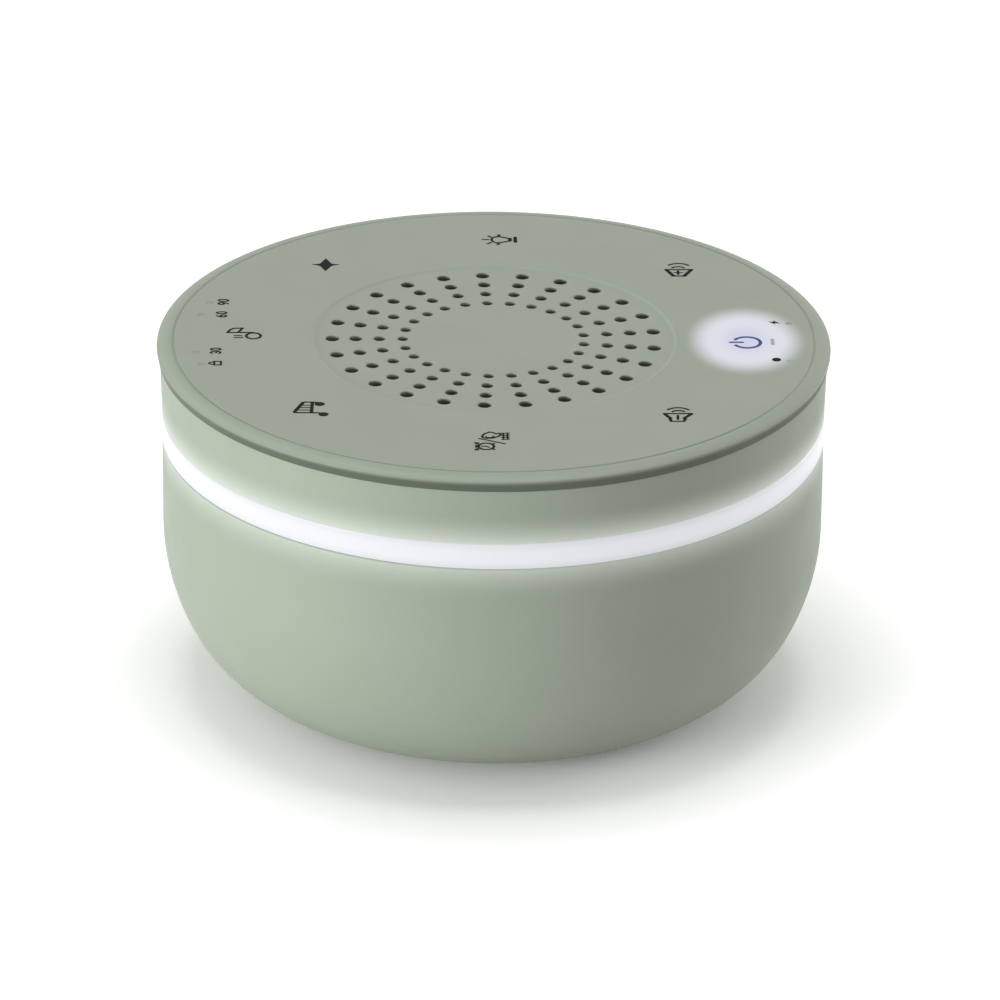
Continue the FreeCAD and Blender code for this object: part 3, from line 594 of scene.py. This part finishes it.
def make_lower_shell():
    """The deep bowl with its socket opening and inner posts."""
    outer = bowl_outline(0.0)
    inner = bowl_outline(BOWL_WALL)
    rim = rounded([
        (WALL_RADIUS, BOWL_RIM - 2.0, 0), (WALL_RADIUS, BOWL_RIM, 0.15), (LEDGE_RADIUS, BOWL_RIM, 0),
        (LEDGE_RADIUS, BOWL_RIM - LEDGE_DEPTH, 0), (inner[0][0], BOWL_RIM - LEDGE_DEPTH, 0),
    ])
    side = [(WALL_RADIUS, z) for z in (33.0, 37.0, 40.5)]
    seat = [(SEAT_OUTER, BOWL_FLOOR), (SEAT_OUTER, SEAT_TOP), (SEAT_INNER, SEAT_TOP)]
    seat += [(SEAT_INNER, BOWL_FLOOR), (0.0, BOWL_FLOOR)]
    outline = [(0.0, BOWL_FLOOR + BOWL_WALL)] + inner[::-1] + rim[::-1] + side[::-1] + outer + seat
    parts = [turned(outline)]
    parts += screw_cylinders(POST_RADIUS, POST_LOW, POST_TOP)
    piece = make_object("bowl", *joined(*parts), 32.0)
    carve(piece, socket_cutter())
    even_normals(piece, 32.0)
    return piece


def screw_cylinders(radius, low, high):
    """A cylinder at each of the screws that join the shells."""
    return [cylinder(radius, low, high, SCREW_CIRCLE * math.cos(a), SCREW_CIRCLE * math.sin(a))
            for a in SCREW_ANGLES]


def socket_cutter():
    """A bar with round ends through the wall, flared at its mouth."""
    steps = 16
    vertices = []
    for x, grow in ((-56.0, 0.55), (-54.19, 0.55), (-53.94, 0.25), (-49.0, 0.25)):
        half = SOCKET_HALF_HEIGHT + grow
        side = SOCKET_HALF_WIDTH + grow - half
        for end, first in ((side, -math.pi / 2), (-side, math.pi / 2)):
            for k in range(steps + 1):
                turn = first + math.pi * k / steps
                vertices.append((x, end + half * math.cos(turn), SOCKET_Z + half * math.sin(turn)))
    count = 2 * (steps + 1)
    faces = [list(range(count)), list(range(4 * count - 1, 3 * count - 1, -1))]
    return make_object("cutter", vertices, faces + side_faces(count, 4))


def make_upper_shell():
    """The short wall above the light ring, with its flange and the bead that holds the cover."""
    bead = RIM_LOW + 1.0
    outline = rounded([
        (UPPER_BORE, RING_TOP, 0), (WALL_RADIUS, RING_TOP, 0.15), (WALL_TOP_RADIUS, SEAM, 0.15),
        (UPPER_BORE, SEAM, 0), (UPPER_BORE, bead + 0.7, 0), (UPPER_BORE + 0.35, bead, 0),
        (UPPER_BORE, bead - 0.7, 0), (UPPER_BORE, FLANGE_TOP, 0), (FLANGE_BORE, FLANGE_TOP, 0),
        (FLANGE_BORE, FLANGE_LOW, 0), (UPPER_BORE, FLANGE_LOW, 0),
    ])
    piece = make_object("collar", *turned(outline), 32.0)
    cutters = screw_cylinders(SCREW_HOLE, FLANGE_LOW - 1, FLANGE_TOP + 1)
    carve(piece, make_object("cutter", *joined(*cutters)))
    even_normals(piece, 32.0)
    return piece


def make_light_ring():
    """The diffuser: a band between the shells with a tongue above and below."""
    outline = rounded([
        (RING_INNER, BOWL_RIM - LEDGE_DEPTH, 0), (RING_INNER + 1.8, BOWL_RIM - LEDGE_DEPTH, 0),
        (RING_INNER + 1.8, RING_LOW, 0), (RING_RADIUS, RING_LOW, 0.25), (RING_RADIUS, RING_TOP, 0.25),
        (UPPER_BORE - 0.1, RING_TOP, 0), (UPPER_BORE - 0.1, RING_TOP + 1.5, 0),
        (RING_INNER, RING_TOP + 1.5, 0),
    ])
    piece = make_object("ring", *turned(outline), 32.0)
    even_normals(piece, 32.0)
    return piece


def make_foot():
    """The rubber ring that the part stands on."""
    outline = rounded([
        (FOOT_INNER, SEAT_TOP, 0), (FOOT_INNER, 0.0, 0.3), (FOOT_OUTER, 0.0, 0.3),
        (FOOT_OUTER, SEAT_TOP, 0),
    ])
    piece = make_object("foot", *turned(outline), 32.0)
    even_normals(piece, 32.0)
    return piece


# Printed marks

def slab(outline):
    """A thin closed plate on the cover from an outline of (x, y) points."""
    count = len(outline)
    vertices = [(x, y, z) for z in (HEIGHT, HEIGHT + INK_HEIGHT) for x, y in outline]
    faces = [list(range(count)), list(range(2 * count - 1, count - 1, -1))]
    for n in range(count):
        m = (n + 1) % count
        faces.append([n, count + n, count + m, m])
    return vertices, faces


def stroke(points, width, closed=False):
    """A line of even width with mitred corners and round ends."""
    spots = [Vector(p) for p in points]
    count = len(spots)
    half = width / 2
    left = []
    right = []
    for n in range(count):
        before = spots[n] - spots[n - 1] if n or closed else None
        after = spots[(n + 1) % count] - spots[n] if n < count - 1 or closed else None
        before = before.normalized() if before else after.normalized()
        after = after.normalized() if after else before
        normal = Vector((-before.y, before.x)) + Vector((-after.y, after.x))
        normal = normal.normalized() if normal.length > 1e-6 else Vector((-before.y, before.x))
        reach = half / max(0.5, normal.dot(Vector((-after.y, after.x))))
        left.append(spots[n] + normal * reach)
        right.append(spots[n] - normal * reach)
    if closed:
        return band(left, right)
    outline = list(left)
    outline += round_end(spots[-1], left[-1], half)
    outline += right[::-1]
    outline += round_end(spots[0], right[0], half)
    return slab([(p.x, p.y) for p in outline])


def round_end(middle, start, radius):
    """Points of the half circle that closes a stroke, between its two sides."""
    first = math.atan2(start.y - middle.y, start.x - middle.x)
    return [middle + Vector((math.cos(first - math.pi * k / 8), math.sin(first - math.pi * k / 8))) * radius
            for k in range(1, 8)]


def band(left, right):
    """A thin closed loop on the cover between two outlines."""
    count = len(left)
    heights = (HEIGHT, HEIGHT + INK_HEIGHT)
    vertices = [(p.x, p.y, z) for line in (left, right) for z in heights for p in line]
    left_low, left_high, right_low, right_high = 0, count, 2 * count, 3 * count
    faces = []
    for n in range(count):
        m = (n + 1) % count
        faces.append([left_high + n, left_high + m, right_high + m, right_high + n])
        faces.append([left_low + n, right_low + n, right_low + m, left_low + m])
        faces.append([left_low + n, left_low + m, left_high + m, left_high + n])
        faces.append([right_low + n, right_high + n, right_high + m, right_low + m])
    return vertices, faces


def circle(centre, radius, start=0.0, end=360.0, count=28):
    """Points of a circle, or of an arc between two angles in degrees."""
    whole = abs(end - start) >= 360
    steps = count if whole else count - 1
    points = []
    for n in range(count):
        turn = math.radians(start + (end - start) * n / steps)
        points.append((centre[0] + radius * math.cos(turn), centre[1] + radius * math.sin(turn)))
    return points


def dot(centre, radius, count=20):
    return slab(circle(centre, radius, count=count))


def mark(name, material, *parts):
    """One printed mark from its plates."""
    finish_piece(make_object(name, *joined(*parts), 30.0), material)


def digit(figure, x, y, tall, width, line):
    """Strokes of one figure whose middle is (x, y); its right is +Y and its top is -X."""
    up = tall / 2
    side = width / 2

    def at(u, v):
        return (x - v * up, y + u * side)

    def curve(cu, cv, ru, rv, start, end, count):
        turns = [math.radians(start + (end - start) * n / (count - 1)) for n in range(count)]
        return [at(cu + ru * math.cos(turn), cv + rv * math.sin(turn)) for turn in turns]

    if figure == "0":
        return [stroke(curve(0, 0, 1, 1, 0, 360 - 360 / 26, 26), line, True)]
    if figure == "6":
        loop = curve(0, -0.42, 0.95, 0.58, 0, 360 - 360 / 24, 24)
        return [stroke(loop, line, True), stroke(curve(0.95, -0.35, 1.9, 1.4, 180, 112, 9), line)]
    if figure == "9":
        loop = curve(0, 0.42, 0.95, 0.58, 0, 360 - 360 / 24, 24)
        return [stroke(loop, line, True), stroke(curve(-0.95, 0.35, 1.9, 1.4, 0, -68, 9), line)]
    upper = curve(-0.05, 0.48, 0.85, 0.52, 150, -85, 16)
    lower = curve(-0.05, -0.48, 0.95, 0.52, 90, -155, 18)
    return [stroke(upper + lower[1:], line)]


def number(text, x, y, tall=1.95, wide=2.6, line=0.36):
    """The strokes of a printed number whose middle is (x, y)."""
    parts = []
    pitch = wide / len(text)
    for n, figure in enumerate(text):
        middle = y - wide / 2 + pitch * (n + 0.5)
        parts += digit(figure, x, middle, tall - line, pitch - line - 0.12, line)
    return parts


def finish_piece(piece, material):
    """Gives a piece its material, and lets it ride on the housing."""
    piece.data.materials.clear()
    piece.data.materials.append(material)
    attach(piece, "housing")


def bow(start, middle, end, count=12):
    """Points of the arc through three points."""
    a, b, c = Vector(start), Vector(middle), Vector(end)
    twice = 2 * (a.x * (b.y - c.y) + b.x * (c.y - a.y) + c.x * (a.y - b.y))
    x = (a.dot(a) * (b.y - c.y) + b.dot(b) * (c.y - a.y) + c.dot(c) * (a.y - b.y)) / twice
    y = (a.dot(a) * (c.x - b.x) + b.dot(b) * (a.x - c.x) + c.dot(c) * (b.x - a.x)) / twice
    centre = Vector((x, y))
    first = math.atan2(a.y - y, a.x - x)
    swing = (a - centre).angle_signed(c - centre)
    radius = (a - centre).length
    return [(x + radius * math.cos(first - swing * n / (count - 1)),
             y + radius * math.sin(first - swing * n / (count - 1))) for n in range(count)]


def mirrored(quarter):
    """A four-fold outline from the points of its first quarter, from +X to +Y."""
    points = list(quarter)
    points += [(-x, y) for x, y in reversed(quarter[:-1])]
    points += [(-x, -y) for x, y in quarter[1:]]
    points += [(x, -y) for x, y in reversed(quarter[1:-1])]
    return points


def make_marks(ink, power_ink, faint_ink):
    """The key marks, the indicator marks and the numbers of minutes."""
    power = (41.27, -1.46)
    mark("mark_power", power_ink,
         stroke(circle(power, 2.2, 180 - 32, -180 + 32, 40), 0.56),
         stroke([(38.55, -1.42), (40.55, -1.40)], 0.5))
    mark("mark_power_bar", faint_ink, stroke([(45.46, -2.2), (45.46, -0.14)], 0.6))
    mark("mark_bolt", ink, slab([
        (45.05, 7.15), (46.20, 5.95), (46.10, 6.55), (47.05, 6.30), (45.85, 7.55), (45.95, 6.95)]))
    mark("mark_battery", ink, slab(circle((45.80, -8.35), 0.74, count=24)))
    mark("mark_louder", ink,
         stroke([(28.80, 28.62), (33.26, 28.68)], LINE),
         stroke([(28.98, 28.45), (30.02, 26.05)], 0.66), stroke([(33.06, 28.50), (31.92, 26.08)], 0.66),
         stroke([(29.90, 25.92), (32.0, 25.95)], LINE),
         stroke([(30.17, 27.36), (31.57, 27.36)], THIN),
         stroke([(30.87, 26.66), (30.87, 27.14)], FULL), stroke([(30.87, 27.58), (30.87, 28.06)], FULL),
         stroke(bow((29.97, 29.40), (30.94, 29.86), (31.91, 29.42)), LINE),
         stroke(bow((29.40, 30.50), (30.98, 31.22), (32.70, 30.50)), LINE))
    mark("mark_quieter", ink,
         stroke([(26.95, -29.88), (31.42, -29.83)], LINE),
         stroke([(27.08, -30.05), (27.95, -31.72)], HEAVY),
         stroke([(31.28, -30.0), (30.14, -31.66)], HEAVY),
         stroke([(27.86, -31.95), (28.0, -32.75)], 0.5), stroke([(30.30, -31.90), (30.12, -32.72)], 0.5),
         stroke([(28.1, -32.86), (30.0, -32.84)], LINE),
         stroke([(29.15, -30.62), (29.11, -32.05)], FULL),
         stroke(bow((28.35, -29.08), (29.29, -28.66), (30.19, -29.06)), LINE),
         stroke(bow((27.64, -28.32), (29.34, -27.57), (30.94, -28.38)), LINE))
    lamp_side = [(2.9, 0.55), (2.0, 0.95), (1.18, 1.34), (0.55, 1.22), (0.1, 0.80)]
    lamp_line = [(x, 41.08 + y) for x, y in lamp_side] + [(-0.12, 41.08)]
    lamp_line += [(x, 41.08 - y) for x, y in reversed(lamp_side)]
    mark("mark_lamp", ink,
         stroke(lamp_line, LINE), stroke([(-1.60, 41.12), (-0.62, 41.12)], 0.36),
         stroke([(-0.62, 42.65), (-0.2, 42.15)], 0.4), stroke([(-0.74, 39.35), (-0.25, 39.85)], 0.4),
         dot((1.15, 43.0), 0.34), dot((1.03, 39.16), 0.34),
         slab([(2.72, 40.40), (2.72, 41.80), (3.32, 41.80), (3.32, 40.40)]),
         slab([(3.58, 40.0), (3.58, 42.25), (3.95, 42.45), (4.2, 42.25), (4.2, 40.0), (3.95, 39.80)]))
    star = mirrored([(2.45, 0.16), (1.25, 0.32), (0.92, 0.58), (0.48, 1.62), (0.0, 2.65)])
    mark("mark_star", ink, slab([(-27.80 + x, 30.03 + y) for x, y in star]))
    mark("mark_tune", ink,
         stroke(circle((-39.20, 0.34), 1.18, count=26), FULL, True),
         stroke([(-39.30, 1.70), (-43.45, 1.66), (-43.10, 2.75), (-42.45, 3.42), (-41.05, 3.46),
                 (-41.62, 1.98)], LINE),
         stroke([(-42.30, 0.43), (-41.20, 0.44)], FINE), stroke([(-42.30, -0.38), (-41.0, -0.36)], FINE))
    mark("mark_song", ink,
         stroke([(-30.45, -25.98), (-28.6, -26.05)], LINE), slab(oval((-28.02, -26.72), 0.82, 0.78)),
         stroke([(-32.0, -30.10), (-28.1, -30.14)], LINE), slab(oval((-27.36, -30.70), 0.82, 0.78)),
         stroke([(-32.0, -29.75), (-30.70, -26.2)], HEAVY),
         stroke([(-29.30, -29.85), (-29.20, -26.3)], 0.56),
         stroke([(-30.85, -27.23), (-29.56, -27.22)], THIN),
         stroke([(-31.15, -28.13), (-29.62, -28.12)], THIN),
         stroke([(-31.40, -29.10), (-29.67, -29.08)], THIN))
    mark("mark_clock", ink,
         stroke(circle((-1.49, -42.79), 1.22, count=26), LINE, True),
         slab([(-3.45, -41.25), (-2.55, -41.35), (-2.75, -42.1), (-3.25, -41.9)]),
         slab([(-3.45, -44.35), (-3.25, -43.7), (-2.75, -43.45), (-2.55, -44.2)]),
         stroke([(-3.05, -42.45), (-3.05, -43.1)], LINE),
         stroke([(-2.2, -42.75), (-1.5, -42.75), (-1.05, -43.15)], THIN),
         stroke([(-0.45, -41.85), (-0.2, -41.65)], FINE), stroke([(-0.45, -43.75), (-0.2, -43.95)], FINE))
    mark("mark_slash", ink, stroke([(-2.59, -39.82), (1.41, -41.73)], FINE))
    mark("mark_moon", ink,
         stroke([(-2.16, -38.93), (-1.75, -37.95), (-0.95, -37.3), (-0.35, -37.55), (0.1, -38.0),
                 (0.6, -37.75), (0.85, -38.2), (0.45, -38.95), (-0.35, -39.6), (-1.3, -39.75),
                 (-1.95, -39.5)], 0.38, True),
         stroke(bow((-1.55, -39.1), (-0.95, -38.1), (-0.3, -38.9)), FINE))
    rows = [stroke([(1.0, y), (2.15, y + 0.12)], THIN) for y in (-37.75, -38.55, -39.35, -40.15)]
    rows += [stroke([(x, -37.95), (x, -40.0)], THIN) for x in (1.25, 1.9)]
    mark("mark_list", ink, *rows)
    for text, x, y in (("90", -44.45, 14.20), ("60", -44.63, 9.09), ("30", -45.21, -5.78)):
        mark("mark_" + text, ink, *number(text, x, y))
    x, y = -44.85, -10.74
    mark("mark_lock", ink,
         stroke([(x - 0.45, y - 0.72), (x - 0.45, y + 0.72), (x + 0.62, y + 0.72), (x + 0.62, y - 0.72)],
                FINE, True),
         stroke([(x - 0.7, y - 0.5), (x - 1.2, y - 0.25), (x - 1.3, y), (x - 1.2, y + 0.25),
                 (x - 0.7, y + 0.5)], FINE))


def oval(centre, x_radius, y_radius, count=24):
    """Points of an ellipse."""
    return [(centre[0] + x_radius * math.cos(2 * math.pi * n / count),
             centre[1] + y_radius * math.sin(2 * math.pi * n / count)) for n in range(count)]


def dress_inner_nodes():
    """Finishes for the pieces that stay as the CAD model has them."""
    finishes = {
        "grille_cloth": ((56, 62, 53), 0.95, 0.0, "weave", 2600, 0.05, 10),
        "light_pipe": ((136, 147, 131), 0.35, 0.0, "noise", 900, 0.004, 3),
        "opal_guide": ((225, 228, 232), 0.4, 0.0, "noise", 600, 0.005, 3),
        "circuit_board": ((30, 92, 62), 0.45, 0.0, "weave", 420, 0.03, 9),
        "circuit_board_white": ((232, 234, 232), 0.5, 0.0, "weave", 420, 0.02, 5),
        "terminal_board": ((150, 112, 62), 0.6, 0.0, "noise", 500, 0.03, 12),
        "key_foam": ((60, 62, 64), 0.95, 0.0, "noise", 1800, 0.1, 10),
        "led_lens": ((242, 236, 196), 0.3, 0.0, "noise", 700, 0.01, 6),
        "chip_black": ((28, 29, 31), 0.5, 0.0, "noise", 2200, 0.02, 5),
        "ribbon_film": ((196, 138, 58), 0.4, 0.0, "turns", 900, 0.02, 12),
        "screw_steel": ((178, 180, 184), 0.32, 1.0, "rings", 900, 0.01, 8),
        "basket_steel": ((60, 62, 66), 0.45, 0.7, "noise", 1400, 0.02, 7),
        "surround_rubber": ((36, 36, 38), 0.8, 0.0, "noise", 1500, 0.02, 5),
        "cone_paper": ((48, 46, 44), 0.9, 0.0, "noise", 1300, 0.06, 9),
        "former_film": ((178, 120, 54), 0.4, 0.0, "turns", 500, 0.01, 9),
        "coil_copper": ((196, 112, 62), 0.35, 1.0, "turns", 1600, 0.05, 16),
        "spider_cloth": ((206, 176, 108), 0.9, 0.0, "weave", 1500, 0.05, 14),
        "magnet_ferrite": ((62, 62, 66), 0.7, 0.1, "noise", 900, 0.04, 8),
        "lead_insulation": ((178, 46, 42), 0.5, 0.0, "noise", 700, 0.01, 8),
        "reflector_white": ((240, 241, 240), 0.55, 0.0, "noise", 800, 0.01, 4),
        "plug_nylon": ((232, 228, 214), 0.55, 0.0, "noise", 900, 0.02, 6),
        "socket_steel": ((186, 188, 192), 0.28, 1.0, "brushed", 700, 0.01, 8),
        "cell_wrap": ((42, 96, 158), 0.4, 0.0, "noise", 400, 0.01, 6),
        "cradle_plastic": ((52, 54, 56), 0.6, 0.0, "noise", 2400, 0.02, 5),
        "strap_steel": ((170, 172, 176), 0.35, 1.0, "brushed", 800, 0.01, 8),
    }
    made = {name: plain_material(name, *values) for name, values in finishes.items()}
    light_one_pipe(made["light_pipe"], LIT_INDICATOR)
    for part in frame["record"]["subparts"]:
        if part["material_slot"] not in made:
            continue
        node = frame["nodes"][part["node"]]
        node.data.materials.clear()
        node.data.materials.append(made[part["material_slot"]])


def light_one_pipe(material, spot):
    """A green-blue glow in the one indicator pipe that shows the battery's charge."""
    tree = material.node_tree
    bsdf = next(node for node in tree.nodes if node.type == "BSDF_PRINCIPLED")
    x, y, _ = axes(tree)
    across = math_node(tree, "SUBTRACT", x, spot[0] * MM)
    along = math_node(tree, "SUBTRACT", y, spot[1] * MM)
    distance = length(tree, across, along)
    bsdf.inputs["Emission Color"].default_value = linear((20, 170, 140))
    tree.links.new(ease(tree, distance, 0.8 * MM, 1.0 * MM, 0.22, 0.0), bsdf.inputs["Emission Strength"])


def make_shells():
    """The outer pieces, each in the place of the plain CAD piece."""
    rubber = plain_material("foot_rubber", (34, 35, 36), 0.85, 0.0, "noise", 1600, 0.03, 5)
    collar_finish = shell_material("collar_plastic", RING_TOP, 4.9, 0.33)
    bowl_finish = shell_material("bowl_plastic", BOWL_RIM, 5.0, 0.22)
    for piece, material, slot, node in (
        (make_cover(), cover_material(), "shell_plastic", "top_cover"),
        (make_upper_shell(), collar_finish, "shell_plastic", "upper_shell"),
        (make_light_ring(), diffuser_material(), "opal_diffuser", "light_ring"),
        (make_lower_shell(), bowl_finish, "shell_plastic", "lower_shell"),
        (make_foot(), rubber, "foot_rubber", "foot_ring"),
    ):
        finish_piece(piece, material)
        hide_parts(node)


def make_camera():
    """The photograph's viewpoint: a long lens, a low angle and a hair of roll."""
    rise = math.radians(24.875)
    roll = math.radians(0.52)
    aim = Vector((1.253, -62.889, HEIGHT))
    back = Vector((0, -math.cos(rise), math.sin(rise)))
    right = Vector((1, 0, 0))
    up = back.cross(right)
    rolled_right = right * math.cos(roll) + up * math.sin(roll)
    rolled_up = up * math.cos(roll) - right * math.sin(roll)
    distance = 1173.3
    where = (aim + back * distance) * MM
    matrix = Matrix((rolled_right, rolled_up, back)).transposed().to_4x4()
    matrix.translation = where
    data = bpy.data.cameras.new("camera")
    data.lens = 271.5
    data.sensor_width = 36.0
    data.clip_start = 0.01
    camera = bpy.data.objects.new("camera", data)
    camera.matrix_world = Matrix.Rotation(math.radians(-0.669), 4, "Z") @ matrix
    bpy.context.scene.collection.objects.link(camera)
    bpy.context.scene.camera = camera


def lamp(name, where, size, power):
    """A soft white lamp that faces the middle of the part."""
    data = bpy.data.lights.new(name, "AREA")
    data.shape = "RECTANGLE"
    data.size, data.size_y = size
    data.energy = power
    light = bpy.data.objects.new(name, data)
    light.location = where
    aim = Vector((0, 0, 0.03)) - Vector(where)
    light.rotation_euler = aim.to_track_quat("-Z", "Y").to_euler()
    bpy.context.scene.collection.objects.link(light)


def seen_directly(tree):
    """One where a camera, glossy or transmission ray looks, for a clean pale background."""
    rays = tree.nodes.new("ShaderNodeLightPath")
    some = math_node(tree, "MAXIMUM", rays.outputs["Is Camera Ray"], rays.outputs["Is Glossy Ray"])
    return math_node(tree, "MAXIMUM", some, rays.outputs["Is Transmission Ray"])


def make_stage():
    """A pale floor that keeps the part's shadow, and a white room round it."""
    size = 6.0
    low = -FLOOR_DROP * MM
    corners = [(-size, -size, low), (size, -size, low), (size, size, low), (-size, size, low)]
    mesh = bpy.data.meshes.new("floor")
    mesh.from_pydata(corners, [], [(0, 1, 2, 3)])
    floor = bpy.data.objects.new("floor", mesh)
    bpy.context.scene.collection.objects.link(floor)
    material = bpy.data.materials.new("floor_paper")
    material.use_nodes = True
    tree = material.node_tree
    tree.nodes.clear()
    out = tree.nodes.new("ShaderNodeOutputMaterial")
    paper = diffuse(tree, FLOOR_TONE)
    backdrop = tree.nodes.new("ShaderNodeMixShader")
    tree.links.new(seen_directly(tree), backdrop.inputs[0])
    tree.links.new(diffuse(tree, FLOOR_EXTRA_TONE), backdrop.inputs[2])
    glow = tree.nodes.new("ShaderNodeEmission")
    light = math_node(tree, "MULTIPLY", seen_directly(tree), FLOOR_EXTRA_LIGHT)
    tree.links.new(light, glow.inputs["Strength"])
    total = added(tree, paper, added(tree, backdrop.outputs[0], glow.outputs[0]))
    tree.links.new(total, out.inputs[0])
    mesh.materials.append(material)
    world = bpy.data.worlds.new("world")
    bpy.context.scene.world = world
    world.use_nodes = True
    tree = world.node_tree
    tree.nodes.clear()
    out = tree.nodes.new("ShaderNodeOutputWorld")
    sky = tree.nodes.new("ShaderNodeBackground")
    sky.inputs["Color"].default_value = (1.0, 1.0, 1.0, 1.0)
    level = math_node(tree, "MULTIPLY", seen_directly(tree), WHITE_LEVEL - SKY_LEVEL)
    tree.links.new(math_node(tree, "ADD", level, SKY_LEVEL), sky.inputs["Strength"])
    tree.links.new(sky.outputs[0], out.inputs[0])


def diffuse(tree, tone):
    """A matt grey surface."""
    node = tree.nodes.new("ShaderNodeBsdfDiffuse")
    node.inputs["Color"].default_value = (tone, tone, tone, 1.0)
    return node.outputs[0]


def added(tree, first, second):
    """Two shaders together."""
    node = tree.nodes.new("ShaderNodeAddShader")
    tree.links.new(first, node.inputs[0])
    tree.links.new(second, node.inputs[1])
    return node.outputs[0]


make_shells()
key_ink = ink_material("key_ink", (15, 21, 13), 0.8, 2.0, 0.15)
power_ink = ink_material("power_ink", (44, 44, 112))
faint_ink = ink_material("faint_ink", (166, 168, 186), spread=2.0)
make_marks(key_ink, power_ink, faint_ink)
dress_inner_nodes()
make_camera()
make_stage()
lamp("key_light", (-0.83, -0.48, 0.14), (0.5, 0.25), 6.9)
lamp("rim_light", (0.8, 0.56, 0.14), (0.5, 0.25), 3.2)
lamp("top_light", (0.0, 0.0, 1.0), (0.5, 0.5), 3.3)
bpy.context.scene.view_settings.view_transform = "Standard"
